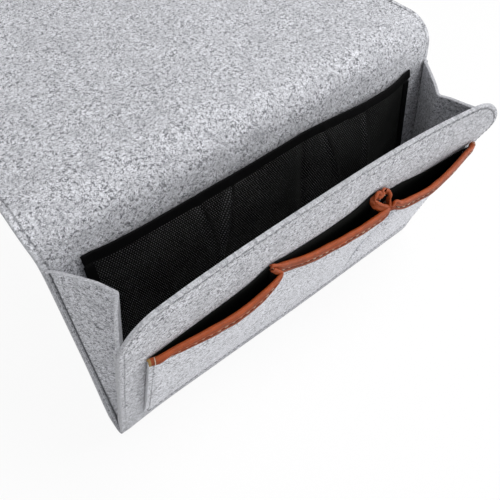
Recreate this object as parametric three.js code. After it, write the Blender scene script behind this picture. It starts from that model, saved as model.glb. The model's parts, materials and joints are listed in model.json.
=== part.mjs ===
// Felt bedside caddy: a flap, a back and a front panel folded from one felt sheet, with inward-folding side
// gussets, a mesh organiser inside the back and three leather-bound pockets on the front.
// Millimetres, +Z up, X across the width, -Y towards the front. Origin: middle of the flap's underside.

import * as THREE from 'three';

const DEGREE = Math.PI / 180;

// Felt sheet: clearance is what lies between pieces that are sewn onto each other
const FELT = 3;
const CLEARANCE = 0.3;
const WIDTH = 320;
const FRONT_HEIGHT = 191;
const FRONT_CORNER = 28;
const OPENING = 21 * DEGREE;
const CLOSED_OPENING = 7 * DEGREE;

// Flap and its bend, which starts a little above the gussets
const FLAP_LENGTH = 250;
const FLAP_CORNER = 20;
const FLAP_RISE = 10 * DEGREE;
const BEND_RADIUS = 21;
const BEND_MARGIN = 11;

// Side gussets: slack is how much further each half could open, and a bevel takes at most its share of a half
const GUSSET_HEIGHT = 168;
const GUSSET_SLACK = 1.5 * DEGREE;
const FLANGE_WIDTH = 7;
const CREASE_CLEARANCE = 3;
const SEAM_ROOM = 0.75;
const BEVEL_SHARE = 0.6;

// Mesh organiser, hung a little below the gussets' tops and kept clear of the caddy's sides
const MESH = 1;
const MESH_DROP = 3;
const MESH_BOTTOM = 14;
const MESH_MARGIN = 20;
const MESH_BULGE = 7;
const MESH_DIVIDER = 26;
const RIBBON = 0.6;
const RIBBON_LEG = 9;
// Soft folds of the mesh: place at the top, lean towards the bottom, and how full each is
const MESH_FOLDS = [
  { top: -63, lean: 18, fullness: 1 },
  { top: -37, lean: -22, fullness: 1 },
  { top: 43, lean: 20, fullness: 1 },
  { top: 84, lean: 10, fullness: 0.75 },
];
const MESH_FOLD_WIDTH = 6;
const MESH_FOLD_HEIGHT = 1.6;
const MESH_BAY_POWER = 4;

// Front pockets, from left to right: where along its mouth each stands out most, and how far
const POCKET_BULGE = 9.5;
const RIGHT_POCKET_BULGE = 12.5;
const POCKETS = [
  { name: 'left', peak: 0.86, bulge: POCKET_BULGE },
  { name: 'middle', peak: 0.8, bulge: POCKET_BULGE },
  { name: 'right', peak: 0.32, bulge: RIGHT_POCKET_BULGE },
];
const POCKET_FELT = 2.5;
const POCKET_MARGIN = 15;
const POCKET_TOP = 140;
const POCKET_BOTTOM = 9;
const POCKET_SWELL = 1.3;
const LINING = 0.8;
const TRIM = 1;
const TRIM_LEG = 8;

// Threads
const THREAD_WIDTH = 1;
const THREAD = 0.5;
const SEAM_INSET = 4;

// Steps of the round stretches
const ARC_STEPS = 6;
const CORNER_STEPS = 6;
const NOSE_STEPS = 3;
const NOSE_TURN = 75 * DEGREE;
const MOUTH_STEPS = 9;
const HEIGHT_STEPS = 6;
const MESH_STEP = 7.5;

// Worked out from the driving dimensions. The pocket's own frame has its origin at the bottom fold's pivot,
// where the lines of all four seams meet: the felt runs one fold radius off it.
const HALF_FELT = FELT / 2;
const HALF_WIDTH = WIDTH / 2;
const FOLD_RADIUS = FELT + CLEARANCE;
const INNER_FACE = FOLD_RADIUS - HALF_FELT;
const OUTER_FACE = FOLD_RADIUS + HALF_FELT;
const FRONT_SHOULDER = FRONT_HEIGHT - FRONT_CORNER;
const BEND_HEIGHT = GUSSET_HEIGHT + BEND_MARGIN;
const BEND = Math.PI / 2 - FLAP_RISE;
const HINGE = BEND / 2;
const GUSSET_SPREAD = OPENING / 2 + GUSSET_SLACK;
const gussetFold = (opening) => Math.asin(Math.tan(opening / 2) / Math.tan(GUSSET_SPREAD));
const GUSSET_BEVEL = FELT / Math.tan(gussetFold(CLOSED_OPENING));
const GUSSET_START = (HALF_FELT + SEAM_ROOM) / Math.tan(CLOSED_OPENING / 2);
const SEAM_X = HALF_WIDTH - FLANGE_WIDTH;
const STITCH_X = HALF_WIDTH - SEAM_INSET;

const felt = (color) => new THREE.MeshStandardMaterial({ color, roughness: 0.95, metalness: 0 });
const cloth = (color) => new THREE.MeshStandardMaterial({ color, roughness: 0.8, metalness: 0 });
const BODY_FELT = felt(0xbcbdc1);
const POCKET_GREY = felt(0xb4b5b9);
const MESH_BLACK = cloth(0x161718);
const RIBBON_BLACK = cloth(0x0e0e10);
const LINING_BLACK = cloth(0x141516);
const TRIM_BROWN = new THREE.MeshStandardMaterial({ color: 0xa0583a, roughness: 0.5, metalness: 0 });
const THREAD_GREY = cloth(0xa6a7ab);
const THREAD_BLACK = cloth(0x121214);
const THREAD_CREAM = cloth(0xd9c7b4);

const X_AXIS = new THREE.Vector3(1, 0, 0);
const Y_AXIS = new THREE.Vector3(0, 1, 0);
const Z_AXIS = new THREE.Vector3(0, 0, 1);
const point = (x, y, z) => new THREE.Vector3(x, y, z);
const steps = (count) => Array.from({ length: count + 1 }, (_, i) => i / count);
const mix = (a, b, t) => a + (b - a) * t;

// A closed sheet between two grids of points with the same rows and columns: both faces and the rim all round
function shell(outer, inner) {
  const rows = outer.length;
  const columns = outer[0].length;
  const points = [...outer.flat(), ...inner.flat()];
  const out = (r, c) => r * columns + c;
  const back = (r, c) => rows * columns + r * columns + c;
  const faces = [];
  const quad = (a, b, c, d) => faces.push([a, b, c], [a, c, d]);
  for (let r = 0; r < rows - 1; r += 1) {
    for (let c = 0; c < columns - 1; c += 1) {
      quad(out(r, c), out(r, c + 1), out(r + 1, c + 1), out(r + 1, c));
      quad(back(r, c), back(r + 1, c), back(r + 1, c + 1), back(r, c + 1));
    }
    quad(out(r, 0), out(r + 1, 0), back(r + 1, 0), back(r, 0));
    quad(out(r + 1, columns - 1), out(r, columns - 1), back(r, columns - 1), back(r + 1, columns - 1));
  }
  for (let c = 0; c < columns - 1; c += 1) {
    quad(out(0, c + 1), out(0, c), back(0, c), back(0, c + 1));
    quad(out(rows - 1, c), out(rows - 1, c + 1), back(rows - 1, c + 1), back(rows - 1, c));
  }
  const volume = faces.reduce((sum, [a, b, c]) => {
    return sum + points[a].dot(points[b].clone().cross(points[c]));
  }, 0);
  const geometry = new THREE.BufferGeometry().setFromPoints(points);
  geometry.setIndex(faces.flatMap(([a, b, c]) => (volume > 0 ? [a, b, c] : [a, c, b])));
  geometry.computeVertexNormals();
  return geometry;
}

function addMesh(group, name, geometry, material) {
  const mesh = new THREE.Mesh(geometry, material);
  mesh.name = name;
  group.add(mesh);
  return mesh;
}

// A band along stations: each has its place, the way across the band and the way out of its face
function band(stations, width, thickness) {
  const face = (side) => stations.map(({ place, across, out }) => [-1, 1].map((edge) => place.clone()
    .addScaledVector(across, edge * width / 2)
    .addScaledVector(out, side * thickness / 2)));
  return shell(face(1), face(-1));
}

const straightBand = (from, to, across, out, width, thickness) => {
  return band([from, to].map((place) => ({ place, across, out })), width, thickness);
};

// A sheet carried along a path in the YZ plane. Each station has its place, the sheet's normal there, half
// its thickness and its half width.
function sheetAlong(stations) {
  const face = (side) => stations.map(({ y, z, normal, half, width }) => [-1, 1].map((edge) => {
    return point(edge * width, y + side * half * normal[0], z + side * half * normal[1]);
  }));
  return shell(face(1), face(-1));
}

// Half width of a sheet at a distance from its rounded end, and the distances at which the outline turns
function roundedWidth(fromEnd, radius) {
  const depth = radius - fromEnd;
  return HALF_WIDTH - radius + Math.sqrt(radius * radius - depth * depth);
}
const cornerDistances = (radius) => steps(CORNER_STEPS).map((t) => radius * (1 - Math.sin(t * Math.PI / 2)));

// The bend between back and flap: an arc that starts upright and turns backwards
function bendStation(angle, half = HALF_FELT, along = 0) {
  return {
    y: FOLD_RADIUS + BEND_RADIUS * (1 - Math.cos(angle)) + along * Math.sin(angle),
    z: BEND_HEIGHT + BEND_RADIUS * Math.sin(angle) + along * Math.cos(angle),
    normal: [-Math.cos(angle), Math.sin(angle)],
    half,
    width: HALF_WIDTH,
  };
}

// The bottom fold: an arc round the pivot, from the back's side to the front's
function foldStation(angle) {
  const normal = [-Math.cos(angle), Math.sin(angle)];
  const [y, z] = normal.map((part) => -FOLD_RADIUS * part);
  return { y, z, normal, half: HALF_FELT, width: HALF_WIDTH };
}

// Half thicknesses and setbacks of an edge that is rounded about the line it turns on
const NOSE = steps(NOSE_STEPS).map((t) => {
  const turn = mix(NOSE_TURN, 0, t);
  return { half: HALF_FELT * Math.cos(turn), setback: HALF_FELT * Math.sin(turn) };
});

// The flap's upper side, and a place on its mid-surface at a distance past the end of the bend
const FLAP_UP = point(0, -Math.sin(FLAP_RISE), Math.cos(FLAP_RISE));
function flapPlace(distance) {
  const end = bendStation(BEND);
  return point(0, end.y + distance * Math.cos(FLAP_RISE), end.z + distance * Math.sin(FLAP_RISE));
}

function flapPanel() {
  const nose = NOSE.map(({ half, setback }) => bendStation(HINGE, half, -setback));
  const bend = steps(ARC_STEPS).slice(1).map((t) => bendStation(mix(HINGE, BEND, t)));
  const corner = cornerDistances(FLAP_CORNER).map((fromEnd) => {
    const { y, z } = flapPlace(FLAP_LENGTH - fromEnd);
    const width = roundedWidth(fromEnd, FLAP_CORNER);
    return { y, z, normal: [FLAP_UP.y, FLAP_UP.z], half: HALF_FELT, width };
  });
  return sheetAlong([...nose, ...bend, ...corner]);
}

function backPanel() {
  const top = HINGE - (HALF_FELT + CLEARANCE) / BEND_RADIUS;
  const bend = steps(ARC_STEPS).map((t) => bendStation(mix(top, 0, t)));
  const end = Math.PI - OPENING - CLEARANCE / FOLD_RADIUS;
  const fold = steps(2 * ARC_STEPS).map((t) => foldStation(end * t));
  return sheetAlong([...bend, ...fold]);
}

function frontPanel() {
  const foot = { y: -FOLD_RADIUS, z: CLEARANCE, normal: [-1, 0], half: HALF_FELT, width: HALF_WIDTH };
  const corner = cornerDistances(FRONT_CORNER).map((fromEnd) => {
    return { ...foot, z: FRONT_HEIGHT - fromEnd, width: roundedWidth(fromEnd, FRONT_CORNER) };
  });
  return sheetAlong([foot, ...corner]);
}

// The sewn margin of a gusset, lying on a panel's inner face. side is -1 on the left and 1 on the right.
function gussetFlange(side) {
  const inner = SEAM_X + HALF_FELT + CLEARANCE;
  const middle = side * (inner + HALF_WIDTH) / 2;
  const from = point(middle, 0, GUSSET_START);
  const to = point(middle, 0, GUSSET_HEIGHT);
  return straightBand(from, to, X_AXIS, Y_AXIS, HALF_WIDTH - inner, FELT);
}

// One half of a gusset in its seam's frame: Z along the seam, X towards the crease, Y through the felt. The
// seam's edge is rounded about the seam's line, and the crease's edge is bevelled so that the halves close.
function gussetHalf(side, facing) {
  const spread = Math.tan(GUSSET_SPREAD);
  const row = (height, slope, face) => {
    const reach = height * spread - CREASE_CLEARANCE;
    const bevel = Math.min(GUSSET_BEVEL, BEVEL_SHARE * reach);
    const section = [
      ...NOSE.map(({ half, setback }) => ({ reach: -setback, out: half, in: -half })),
      { reach: reach - bevel, out: HALF_FELT, in: -HALF_FELT },
      { reach, out: CLEARANCE - HALF_FELT, in: -HALF_FELT },
    ];
    return section.map((edge) => {
      return point(-side * edge.reach, facing * edge[face], height - slope * Math.max(edge.reach, 0));
    });
  };
  const face = (name) => [row(GUSSET_START, 0, name), row(GUSSET_HEIGHT, spread, name)];
  return shell(face('out'), face('in'));
}

// Adds one panel's two gusset margins and halves. facing is -1 on the back and 1 on the front.
function addGussets(group, panel, facing) {
  for (const [sideName, side] of [['left', -1], ['right', 1]]) {
    addMesh(group, `${sideName}_gusset_${panel}_flange`, gussetFlange(side), BODY_FELT);
    const half = addMesh(group, `${sideName}_gusset_${panel}_half`, gussetHalf(side, facing), BODY_FELT);
    half.position.x = side * SEAM_X;
    half.rotation.z = -side * facing * gussetFold(OPENING);
  }
}

// The mesh lies flat under its side ribbons and at the divider, and stands off the back in the bays between
const MESH_TOP = GUSSET_HEIGHT - MESH_DROP;
const MESH_HALF_WIDTH = HALF_WIDTH - MESH_MARGIN;
const BAY_END = MESH_HALF_WIDTH - RIBBON_LEG;
const MESH_REST = INNER_FACE - 2 * CLEARANCE - RIBBON - MESH / 2;

// How far the mesh stands off at a place: flat-topped across a bay, growing upwards, with soft folds
function meshBulge(x, height) {
  const [from, to] = x < MESH_DIVIDER ? [-BAY_END, MESH_DIVIDER] : [MESH_DIVIDER, BAY_END];
  const across = 2 * (x - from) / (to - from) - 1;
  const up = (height - MESH_BOTTOM) / (MESH_TOP - MESH_BOTTOM);
  const bay = Math.max(1 - across ** MESH_BAY_POWER, 0);
  const folds = MESH_FOLDS.reduce((sum, fold) => {
    const middle = fold.top + fold.lean * (1 - up);
    return sum + fold.fullness * Math.exp(-(((x - middle) / MESH_FOLD_WIDTH) ** 2));
  }, 0);
  return (MESH_BULGE + MESH_FOLD_HEIGHT * folds) * bay * Math.sqrt(up);
}

function bayPlaces(from, to) {
  const count = Math.round((to - from) / MESH_STEP);
  return steps(count).map((t) => mix(from, to, t));
}
const MESH_PLACES = [
  -MESH_HALF_WIDTH,
  ...bayPlaces(-BAY_END, MESH_DIVIDER),
  ...bayPlaces(MESH_DIVIDER, BAY_END).slice(1),
  MESH_HALF_WIDTH,
];
const MESH_HEIGHTS = steps(HEIGHT_STEPS).map((t) => mix(MESH_BOTTOM, MESH_TOP, t));
const meshRow = (height) => MESH_PLACES.map((x) => point(x, MESH_REST - meshBulge(x, height), height));

// Moves a whole row of points through the sheet
const shifted = (row, y) => row.map((place) => place.clone().setY(place.y + y));

function meshPanel() {
  const face = (side) => MESH_HEIGHTS.map((height) => shifted(meshRow(height), side * MESH / 2));
  return shell(face(-1), face(1));
}

// Profile of a binding folded over a sheet's edge, as pairs of outer and inner points: first number out from
// the sheet, second up from its edge
function bindingProfile(sheet, thickness, leg) {
  const inside = sheet / 2 + CLEARANCE;
  const outside = inside + thickness;
  const half = [
    { outer: [outside, -leg], inner: [inside, -leg] },
    { outer: [outside, CLEARANCE], inner: [inside, CLEARANCE / 2] },
    { outer: [outside / 2, CLEARANCE + thickness], inner: [inside / 2, CLEARANCE] },
  ];
  const mirror = ({ outer, inner }) => ({ outer: [-outer[0], outer[1]], inner: [-inner[0], inner[1]] });
  return [...half, ...half.map(mirror).reverse()];
}

// A folded binding along stations on a sheet's edge. Each has its place, the way out and the way up a sheet.
function binding(stations, profile) {
  const face = (kind) => stations.map(({ place, out, up }) => profile.map((corner) => place.clone()
    .addScaledVector(out, corner[kind][0])
    .addScaledVector(up, corner[kind][1])));
  return shell(face('outer'), face('inner'));
}

// Stations along the top row of a sheet, leaning as the sheet does between its two top rows
function rimStations(row, rowBelow) {
  const out = point(0, -1, 0);
  return row.map((place, i) => {
    const up = place.clone().sub(rowBelow[i]);
    return { place, out, up: up.divideScalar(up.z) };
  });
}

function meshTopBinding() {
  const below = MESH_HEIGHTS[HEIGHT_STEPS - 1];
  const stations = rimStations(meshRow(MESH_TOP), meshRow(below));
  return binding(stations, bindingProfile(MESH, RIBBON, RIBBON_LEG));
}

// Ribbon along one side of the mesh, ending under the top ribbon
function meshSideBinding(side) {
  const top = MESH_TOP - RIBBON_LEG - CLEARANCE;
  const stations = [MESH_BOTTOM, top].map((height) => ({
    place: point(side * MESH_HALF_WIDTH, MESH_REST, height),
    out: point(0, -1, 0),
    up: point(side, 0, 0),
  }));
  return binding(stations, bindingProfile(MESH, RIBBON, RIBBON_LEG - CLEARANCE));
}

// Seats of the layers sewn on the front's outer face: each is the place of the layer's middle
const LINING_SEAT = -OUTER_FACE - CLEARANCE - LINING / 2;
const LINING_FACE = LINING_SEAT - LINING / 2;
const POCKET_SEAT = LINING_FACE - CLEARANCE - POCKET_FELT / 2;
const DIVISION = THREAD_WIDTH + 2 * CLEARANCE;
const POCKET_ROW_WIDTH = WIDTH - 2 * POCKET_MARGIN;
const POCKET_PITCH = POCKET_ROW_WIDTH / POCKETS.length;
const POCKET_HEIGHTS = steps(HEIGHT_STEPS).map((t) => mix(POCKET_BOTTOM, POCKET_TOP, t));
const divisionPlace = (i) => -POCKET_ROW_WIDTH / 2 + i * POCKET_PITCH;

// A mouth rises to its peak from one end and falls to the other, steeply where the peak is near an end
const ease = (r) => (3 * r - r ** 3) / 2;
const mouthShape = (u, peak) => ease(u < peak ? u / peak : (1 - u) / (1 - peak));

// Points along one pocket at a height. The trim's inner leg keeps the mouth's ends off the lining.
function pocketRow(i, height) {
  const { peak, bulge } = POCKETS[i];
  const from = divisionPlace(i) + DIVISION / 2;
  const to = divisionPlace(i + 1) - DIVISION / 2;
  const up = (height - POCKET_BOTTOM) / (POCKET_TOP - POCKET_BOTTOM);
  const rise = steps(MOUTH_STEPS).map((t) => t * peak);
  const fall = steps(MOUTH_STEPS).slice(1).map((t) => mix(peak, 1, t));
  return [...rise, ...fall].map((u) => {
    const off = (TRIM + CLEARANCE + bulge * mouthShape(u, peak)) * up ** POCKET_SWELL;
    return point(mix(from, to, u), POCKET_SEAT - off, height);
  });
}

function pocketWall(i) {
  const half = POCKET_FELT / 2;
  const face = (side) => POCKET_HEIGHTS.map((height) => shifted(pocketRow(i, height), side * half));
  return shell(face(-1), face(1));
}

const mouthStations = (i) => {
  return rimStations(pocketRow(i, POCKET_TOP), pocketRow(i, POCKET_HEIGHTS[HEIGHT_STEPS - 1]));
};
const pocketTrim = (i) => binding(mouthStations(i), bindingProfile(POCKET_FELT, TRIM, TRIM_LEG));

// Thread along the trim's lower edge
function trimThread(i) {
  const drop = TRIM_LEG - THREAD_WIDTH;
  const level = POCKET_FELT / 2 + 2 * CLEARANCE + TRIM + THREAD / 2;
  const stations = mouthStations(i).map(({ place, out, up }) => {
    const seat = place.clone().addScaledVector(up, -drop).addScaledVector(out, level);
    return { place: seat, across: up, out };
  });
  return band(stations, THREAD_WIDTH, THREAD);
}

// Thread up one end of the pocket row, on the outermost pocket's wall
function pocketEndThread(i, column) {
  const level = POCKET_FELT / 2 + CLEARANCE + THREAD / 2;
  const heights = [POCKET_BOTTOM + 2 * THREAD_WIDTH, ...POCKET_HEIGHTS.slice(1, -1)];
  const stations = heights.map((height) => {
    const place = pocketRow(i, height)[column];
    return { place: place.setY(place.y - level), across: X_AXIS, out: Y_AXIS };
  });
  return band(stations, THREAD_WIDTH, THREAD);
}

const DIVISION_SEAT = LINING_FACE - CLEARANCE - THREAD / 2;
function divisionThread(i) {
  const place = (height) => point(divisionPlace(i), DIVISION_SEAT, height);
  return straightBand(place(POCKET_BOTTOM), place(POCKET_TOP), X_AXIS, Y_AXIS, THREAD_WIDTH, THREAD);
}

function pocketBottomThread() {
  const y = POCKET_SEAT - POCKET_FELT / 2 - CLEARANCE - THREAD / 2;
  const place = (side) => point(side * POCKET_ROW_WIDTH / 2, y, POCKET_BOTTOM + THREAD_WIDTH);
  return straightBand(place(-1), place(1), Z_AXIS, Y_AXIS, THREAD_WIDTH, THREAD);
}

function pocketLining() {
  const place = (height) => point(0, LINING_SEAT, height);
  return straightBand(place(POCKET_BOTTOM), place(POCKET_TOP), X_AXIS, Y_AXIS, POCKET_ROW_WIDTH, LINING);
}

// Threads along the flap's sides, on its upper face
function flapThread(side) {
  const level = HALF_FELT + CLEARANCE + THREAD / 2;
  const place = (distance) => flapPlace(distance).addScaledVector(FLAP_UP, level).setX(side * STITCH_X);
  return straightBand(place(0), place(FLAP_LENGTH - FLAP_CORNER), X_AXIS, FLAP_UP, THREAD_WIDTH, THREAD);
}

// Thread of a gusset's seam: on the front's outer face, and at the back on the margin's inner face, so that
// the back lies flat on the bed. face is how far that face is off the pivot, and top is where the seam ends.
function seamThread(side, face, top) {
  const y = -face - CLEARANCE - THREAD / 2;
  const place = (height) => point(side * STITCH_X, y, height);
  return straightBand(place(GUSSET_START), place(top - CLEARANCE), X_AXIS, Y_AXIS, THREAD_WIDTH, THREAD);
}

// Thread along the front's top edge, round both corners
function frontTopThread() {
  const radius = FRONT_CORNER - SEAM_INSET;
  const y = -OUTER_FACE - CLEARANCE - THREAD / 2;
  const corner = (side) => steps(CORNER_STEPS).map((t) => {
    const turn = t * Math.PI / 2;
    const across = point(side * Math.cos(turn), 0, Math.sin(turn));
    const middle = point(side * (HALF_WIDTH - FRONT_CORNER), y, FRONT_SHOULDER);
    return { place: middle.addScaledVector(across, radius), across, out: Y_AXIS };
  });
  return band([...corner(-1), ...corner(1).reverse()], THREAD_WIDTH, THREAD);
}

const MESH_THREAD_SEAT = MESH_REST - MESH / 2 - CLEARANCE - THREAD / 2;
function meshDividerThread() {
  const place = (height) => point(MESH_DIVIDER, MESH_THREAD_SEAT, height);
  const foot = MESH_BOTTOM + 2 * THREAD_WIDTH;
  const top = MESH_TOP - RIBBON_LEG - CLEARANCE;
  return straightBand(place(foot), place(top), X_AXIS, Y_AXIS, THREAD_WIDTH, THREAD);
}

function meshBottomThread() {
  const reach = BAY_END - CLEARANCE;
  const place = (side) => point(side * reach, MESH_THREAD_SEAT, MESH_BOTTOM + THREAD_WIDTH);
  return straightBand(place(-1), place(1), Z_AXIS, Y_AXIS, THREAD_WIDTH, THREAD);
}

// Assembly: everything hangs from the middle of the flap's underside
const caddy = new THREE.Group();
const pocket = new THREE.Group();
const underside = flapPlace(FLAP_LENGTH / 2).addScaledVector(FLAP_UP, -HALF_FELT);
pocket.position.copy(underside).negate();
caddy.add(pocket);

addMesh(pocket, 'flap_panel', flapPanel(), BODY_FELT);
addMesh(pocket, 'flap_left_thread', flapThread(-1), THREAD_GREY);
addMesh(pocket, 'flap_right_thread', flapThread(1), THREAD_GREY);

addMesh(pocket, 'back_panel', backPanel(), BODY_FELT);
addGussets(pocket, 'rear', -1);
addMesh(pocket, 'left_rear_seam_thread', seamThread(-1, HALF_FELT, GUSSET_HEIGHT), THREAD_GREY);
addMesh(pocket, 'right_rear_seam_thread', seamThread(1, HALF_FELT, GUSSET_HEIGHT), THREAD_GREY);
addMesh(pocket, 'mesh_panel', meshPanel(), MESH_BLACK);
addMesh(pocket, 'mesh_top_binding', meshTopBinding(), RIBBON_BLACK);
addMesh(pocket, 'mesh_left_binding', meshSideBinding(-1), RIBBON_BLACK);
addMesh(pocket, 'mesh_right_binding', meshSideBinding(1), RIBBON_BLACK);
addMesh(pocket, 'mesh_divider_thread', meshDividerThread(), THREAD_BLACK);
addMesh(pocket, 'mesh_bottom_thread', meshBottomThread(), THREAD_BLACK);

const front = new THREE.Group();
front.rotation.x = OPENING;
pocket.add(front);
addMesh(front, 'front_panel', frontPanel(), BODY_FELT);
addGussets(front, 'front', 1);
addMesh(front, 'left_front_seam_thread', seamThread(-1, OUTER_FACE, FRONT_SHOULDER), THREAD_GREY);
addMesh(front, 'right_front_seam_thread', seamThread(1, OUTER_FACE, FRONT_SHOULDER), THREAD_GREY);
addMesh(front, 'front_top_thread', frontTopThread(), THREAD_GREY);
addMesh(front, 'pocket_lining', pocketLining(), LINING_BLACK);
POCKETS.forEach(({ name }, i) => {
  addMesh(front, `${name}_pocket`, pocketWall(i), POCKET_GREY);
  addMesh(front, `${name}_pocket_trim`, pocketTrim(i), TRIM_BROWN);
  addMesh(front, `${name}_trim_thread`, trimThread(i), THREAD_CREAM);
});
addMesh(front, 'left_division_thread', divisionThread(1), THREAD_GREY);
addMesh(front, 'right_division_thread', divisionThread(2), THREAD_GREY);
addMesh(front, 'pocket_left_end_thread', pocketEndThread(0, 1), THREAD_GREY);
addMesh(front, 'pocket_right_end_thread', pocketEndThread(2, 2 * MOUTH_STEPS - 1), THREAD_GREY);
addMesh(front, 'pocket_bottom_thread', pocketBottomThread(), THREAD_GREY);

export default caddy;
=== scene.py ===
"""Felt bedside caddy: felt, gussets, mesh organiser, leather-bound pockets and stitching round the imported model.

Shapes are worked out in millimetres in the pocket's frame, whose origin is the pivot of the bottom fold: X runs
across the width, -Y towards the front and +Z up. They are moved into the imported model's frame in metres.
"""

import json
import math
from types import SimpleNamespace

import bpy
import numpy as np
from mathutils import Matrix


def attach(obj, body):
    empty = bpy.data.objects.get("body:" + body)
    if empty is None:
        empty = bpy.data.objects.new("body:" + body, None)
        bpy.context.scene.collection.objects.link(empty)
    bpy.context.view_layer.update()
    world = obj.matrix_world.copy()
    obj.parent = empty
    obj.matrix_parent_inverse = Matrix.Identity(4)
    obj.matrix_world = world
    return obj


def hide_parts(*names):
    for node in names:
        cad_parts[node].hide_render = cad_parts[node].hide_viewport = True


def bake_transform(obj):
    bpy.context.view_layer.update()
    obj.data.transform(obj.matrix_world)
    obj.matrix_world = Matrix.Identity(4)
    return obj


bl_info = {
    "name": "Felt Bedside Caddy",
    "version": (1, 0, 0),
    "blender": (4, 5, 0),
    "location": "View3D > Sidebar > Caddy",
    "description": "Builds a sewn felt bedside caddy and its studio round a packed model",
    "category": "Object",
}

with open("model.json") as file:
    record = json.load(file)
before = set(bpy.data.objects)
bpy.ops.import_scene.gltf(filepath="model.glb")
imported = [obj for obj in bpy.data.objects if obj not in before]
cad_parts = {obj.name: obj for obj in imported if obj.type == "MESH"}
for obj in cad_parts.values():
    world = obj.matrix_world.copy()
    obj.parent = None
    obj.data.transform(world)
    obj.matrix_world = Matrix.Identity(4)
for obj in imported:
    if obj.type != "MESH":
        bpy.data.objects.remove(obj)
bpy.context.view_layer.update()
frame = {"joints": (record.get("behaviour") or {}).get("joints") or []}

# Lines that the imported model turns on, in millimetres
JOINTS = {joint["name"]: joint for joint in frame["joints"]}
PIVOT = 1000 * np.array(JOINTS["pocket_open"]["pos_m"])
SEAM_X = 1000 * JOINTS["right_rear_gusset_fold"]["pos_m"][0]
FRONT_SEAM_AXIS = JOINTS["left_front_gusset_fold"]["axis"]
OPENING = math.atan2(-FRONT_SEAM_AXIS[1], FRONT_SEAM_AXIS[2])
FRONT_OUT = np.array([0.0, -math.cos(OPENING), -math.sin(OPENING)])
BACK_OUT = np.array([0.0, -1.0, 0.0])
SIDES = (("left", -1), ("right", 1))

# Layers, as how far each one's middle or face lies off the pivot: felt panels, lining and pocket walls
FOLD_RADIUS = 3.3
PANEL_FACE = 4.8
LINING_SEAT = 5.5
POCKET_SEAT = 7.45
POCKET_PRESS = 1.75
POCKET_FOOT = 19.0
BACK_SPLIT = 16.0
FLOOR_GAP = 0.3

# Half thicknesses of the thin layers, and radii of the threads
MESH_HALF = 0.22
RIBBON_HALF = 0.28
SIDE_RIBBON_HALF = 0.26
LINING_HALF = 0.3
TRIM_HALF = 0.42
THREAD_RADIUS = 0.32
TRIM_THREAD_RADIUS = 0.31
TACK_RADIUS = 0.26

# Radii of the rims of gussets, pocket walls and trims, bindings and lining, and mesh
GUSSET_RIM = 0.45
POCKET_RIM = 0.3
RIBBON_RIM = 0.2
MESH_RIM = 0.15
# Seams: how deep in the front's face the side and top stitches lie, and how far others stand off lining and mesh
SIDE_STITCH_DEPTH = 0.65
TOP_STITCH_DEPTH = 0.35
DIVISION_STITCH_RISE = 0.4
MESH_STITCH_RISE = 0.3

# Flat height in metres of the pocket walls' pattern, which was estimated
POCKET_FLAT_HEIGHT = 0.124
# How far apart the flat patterns of like pieces are laid, so that no two show the same stretch of cloth
GUSSET_APART = (300.0, 400.0)
POCKETS_APART, POCKETS_ALONG = 120.0, 900.0
TRIMS_APART = 130.0

# Gussets: angle and slope of the halves, radii at seam and crease, and where the seam's line of painted shade is drawn
GUSSET_FOLD = math.radians(60.7)
GUSSET_SLOPE = 0.2126
GUSSET_SEAM_RADIUS = 2.6
GUSSET_CREASE_RADIUS = 5.0
GUSSET_LINE = 3.0
# A stretch outside the turning line, and its height, whose ends the gussets' step works out in the model's frame
GUSSET_BLEND = (5.0, 0.5)
GUSSET_BLEND_LEVEL = 0.084
# How far the gussets' top edges arch up, by side (left -1, right 1) and panel (back -1, front 1)
GUSSET_ARCH = {(-1, -1): 1.6, (-1, 1): 1.6, (1, -1): 0.4, (1, 1): -1.4}
# By side: how far the crease's top is lowered, how far it lies further out, and the back's seam near the top
CREASE_DROP = {-1: 2.6, 1: 1.2}
CREASE_OUT = {-1: 0.0, 1: 1.3}
SEAM_TOP_OUT = {-1: 0.0, 1: 1.2}

# Mesh: place of its rest, foot, sides, rise and divider
MESH_REST = 0.1
MESH_FOOT = 14.0
MESH_SIDE = 140.0
MESH_RISE = 151.0
MESH_DIVIDER = 26.0
# Top edge of the mesh: place across and height on the back, whose middle is at MESH_MIDDLE
MESH_MIDDLE = 164
MESH_EDGE = [(-140, 165.3), (-109, 165.6), (-60, 166.6), (-18, 167), (30, 167.9), (55, 166.8), (80, 165),
             (108, 164.5), (125, 165.7), (140, 168)]
# Ribbons: gap between the legs at the top and at the sides, how much shorter the side legs are, where the side ribbons
# end as a share of the height, and how far in from the edge the way across is taken
TOP_RIBBON_GAP, SIDE_RIBBON_GAP = 0.62, 0.58
SIDE_RIBBON_SHORTER = 0.4
SIDE_RIBBON_END = 0.945
SIDE_RIBBON_INWARDS = 4.0
# Soft folds of the mesh: place at the top, lean towards the foot, how high up it starts and how full it is
# Along each soft fold the mesh's finish also paints a highlight and a shadow
MESH_FOLDS = [(-64.4, 27, 0.55, 1.0), (-36.2, -49, 0.6, 1.0), (43, 49, 0.6, 1.0), (86, 12, 0.5, 0.6),
              (MESH_DIVIDER, 0, 0.1, 1.0)]

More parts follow.
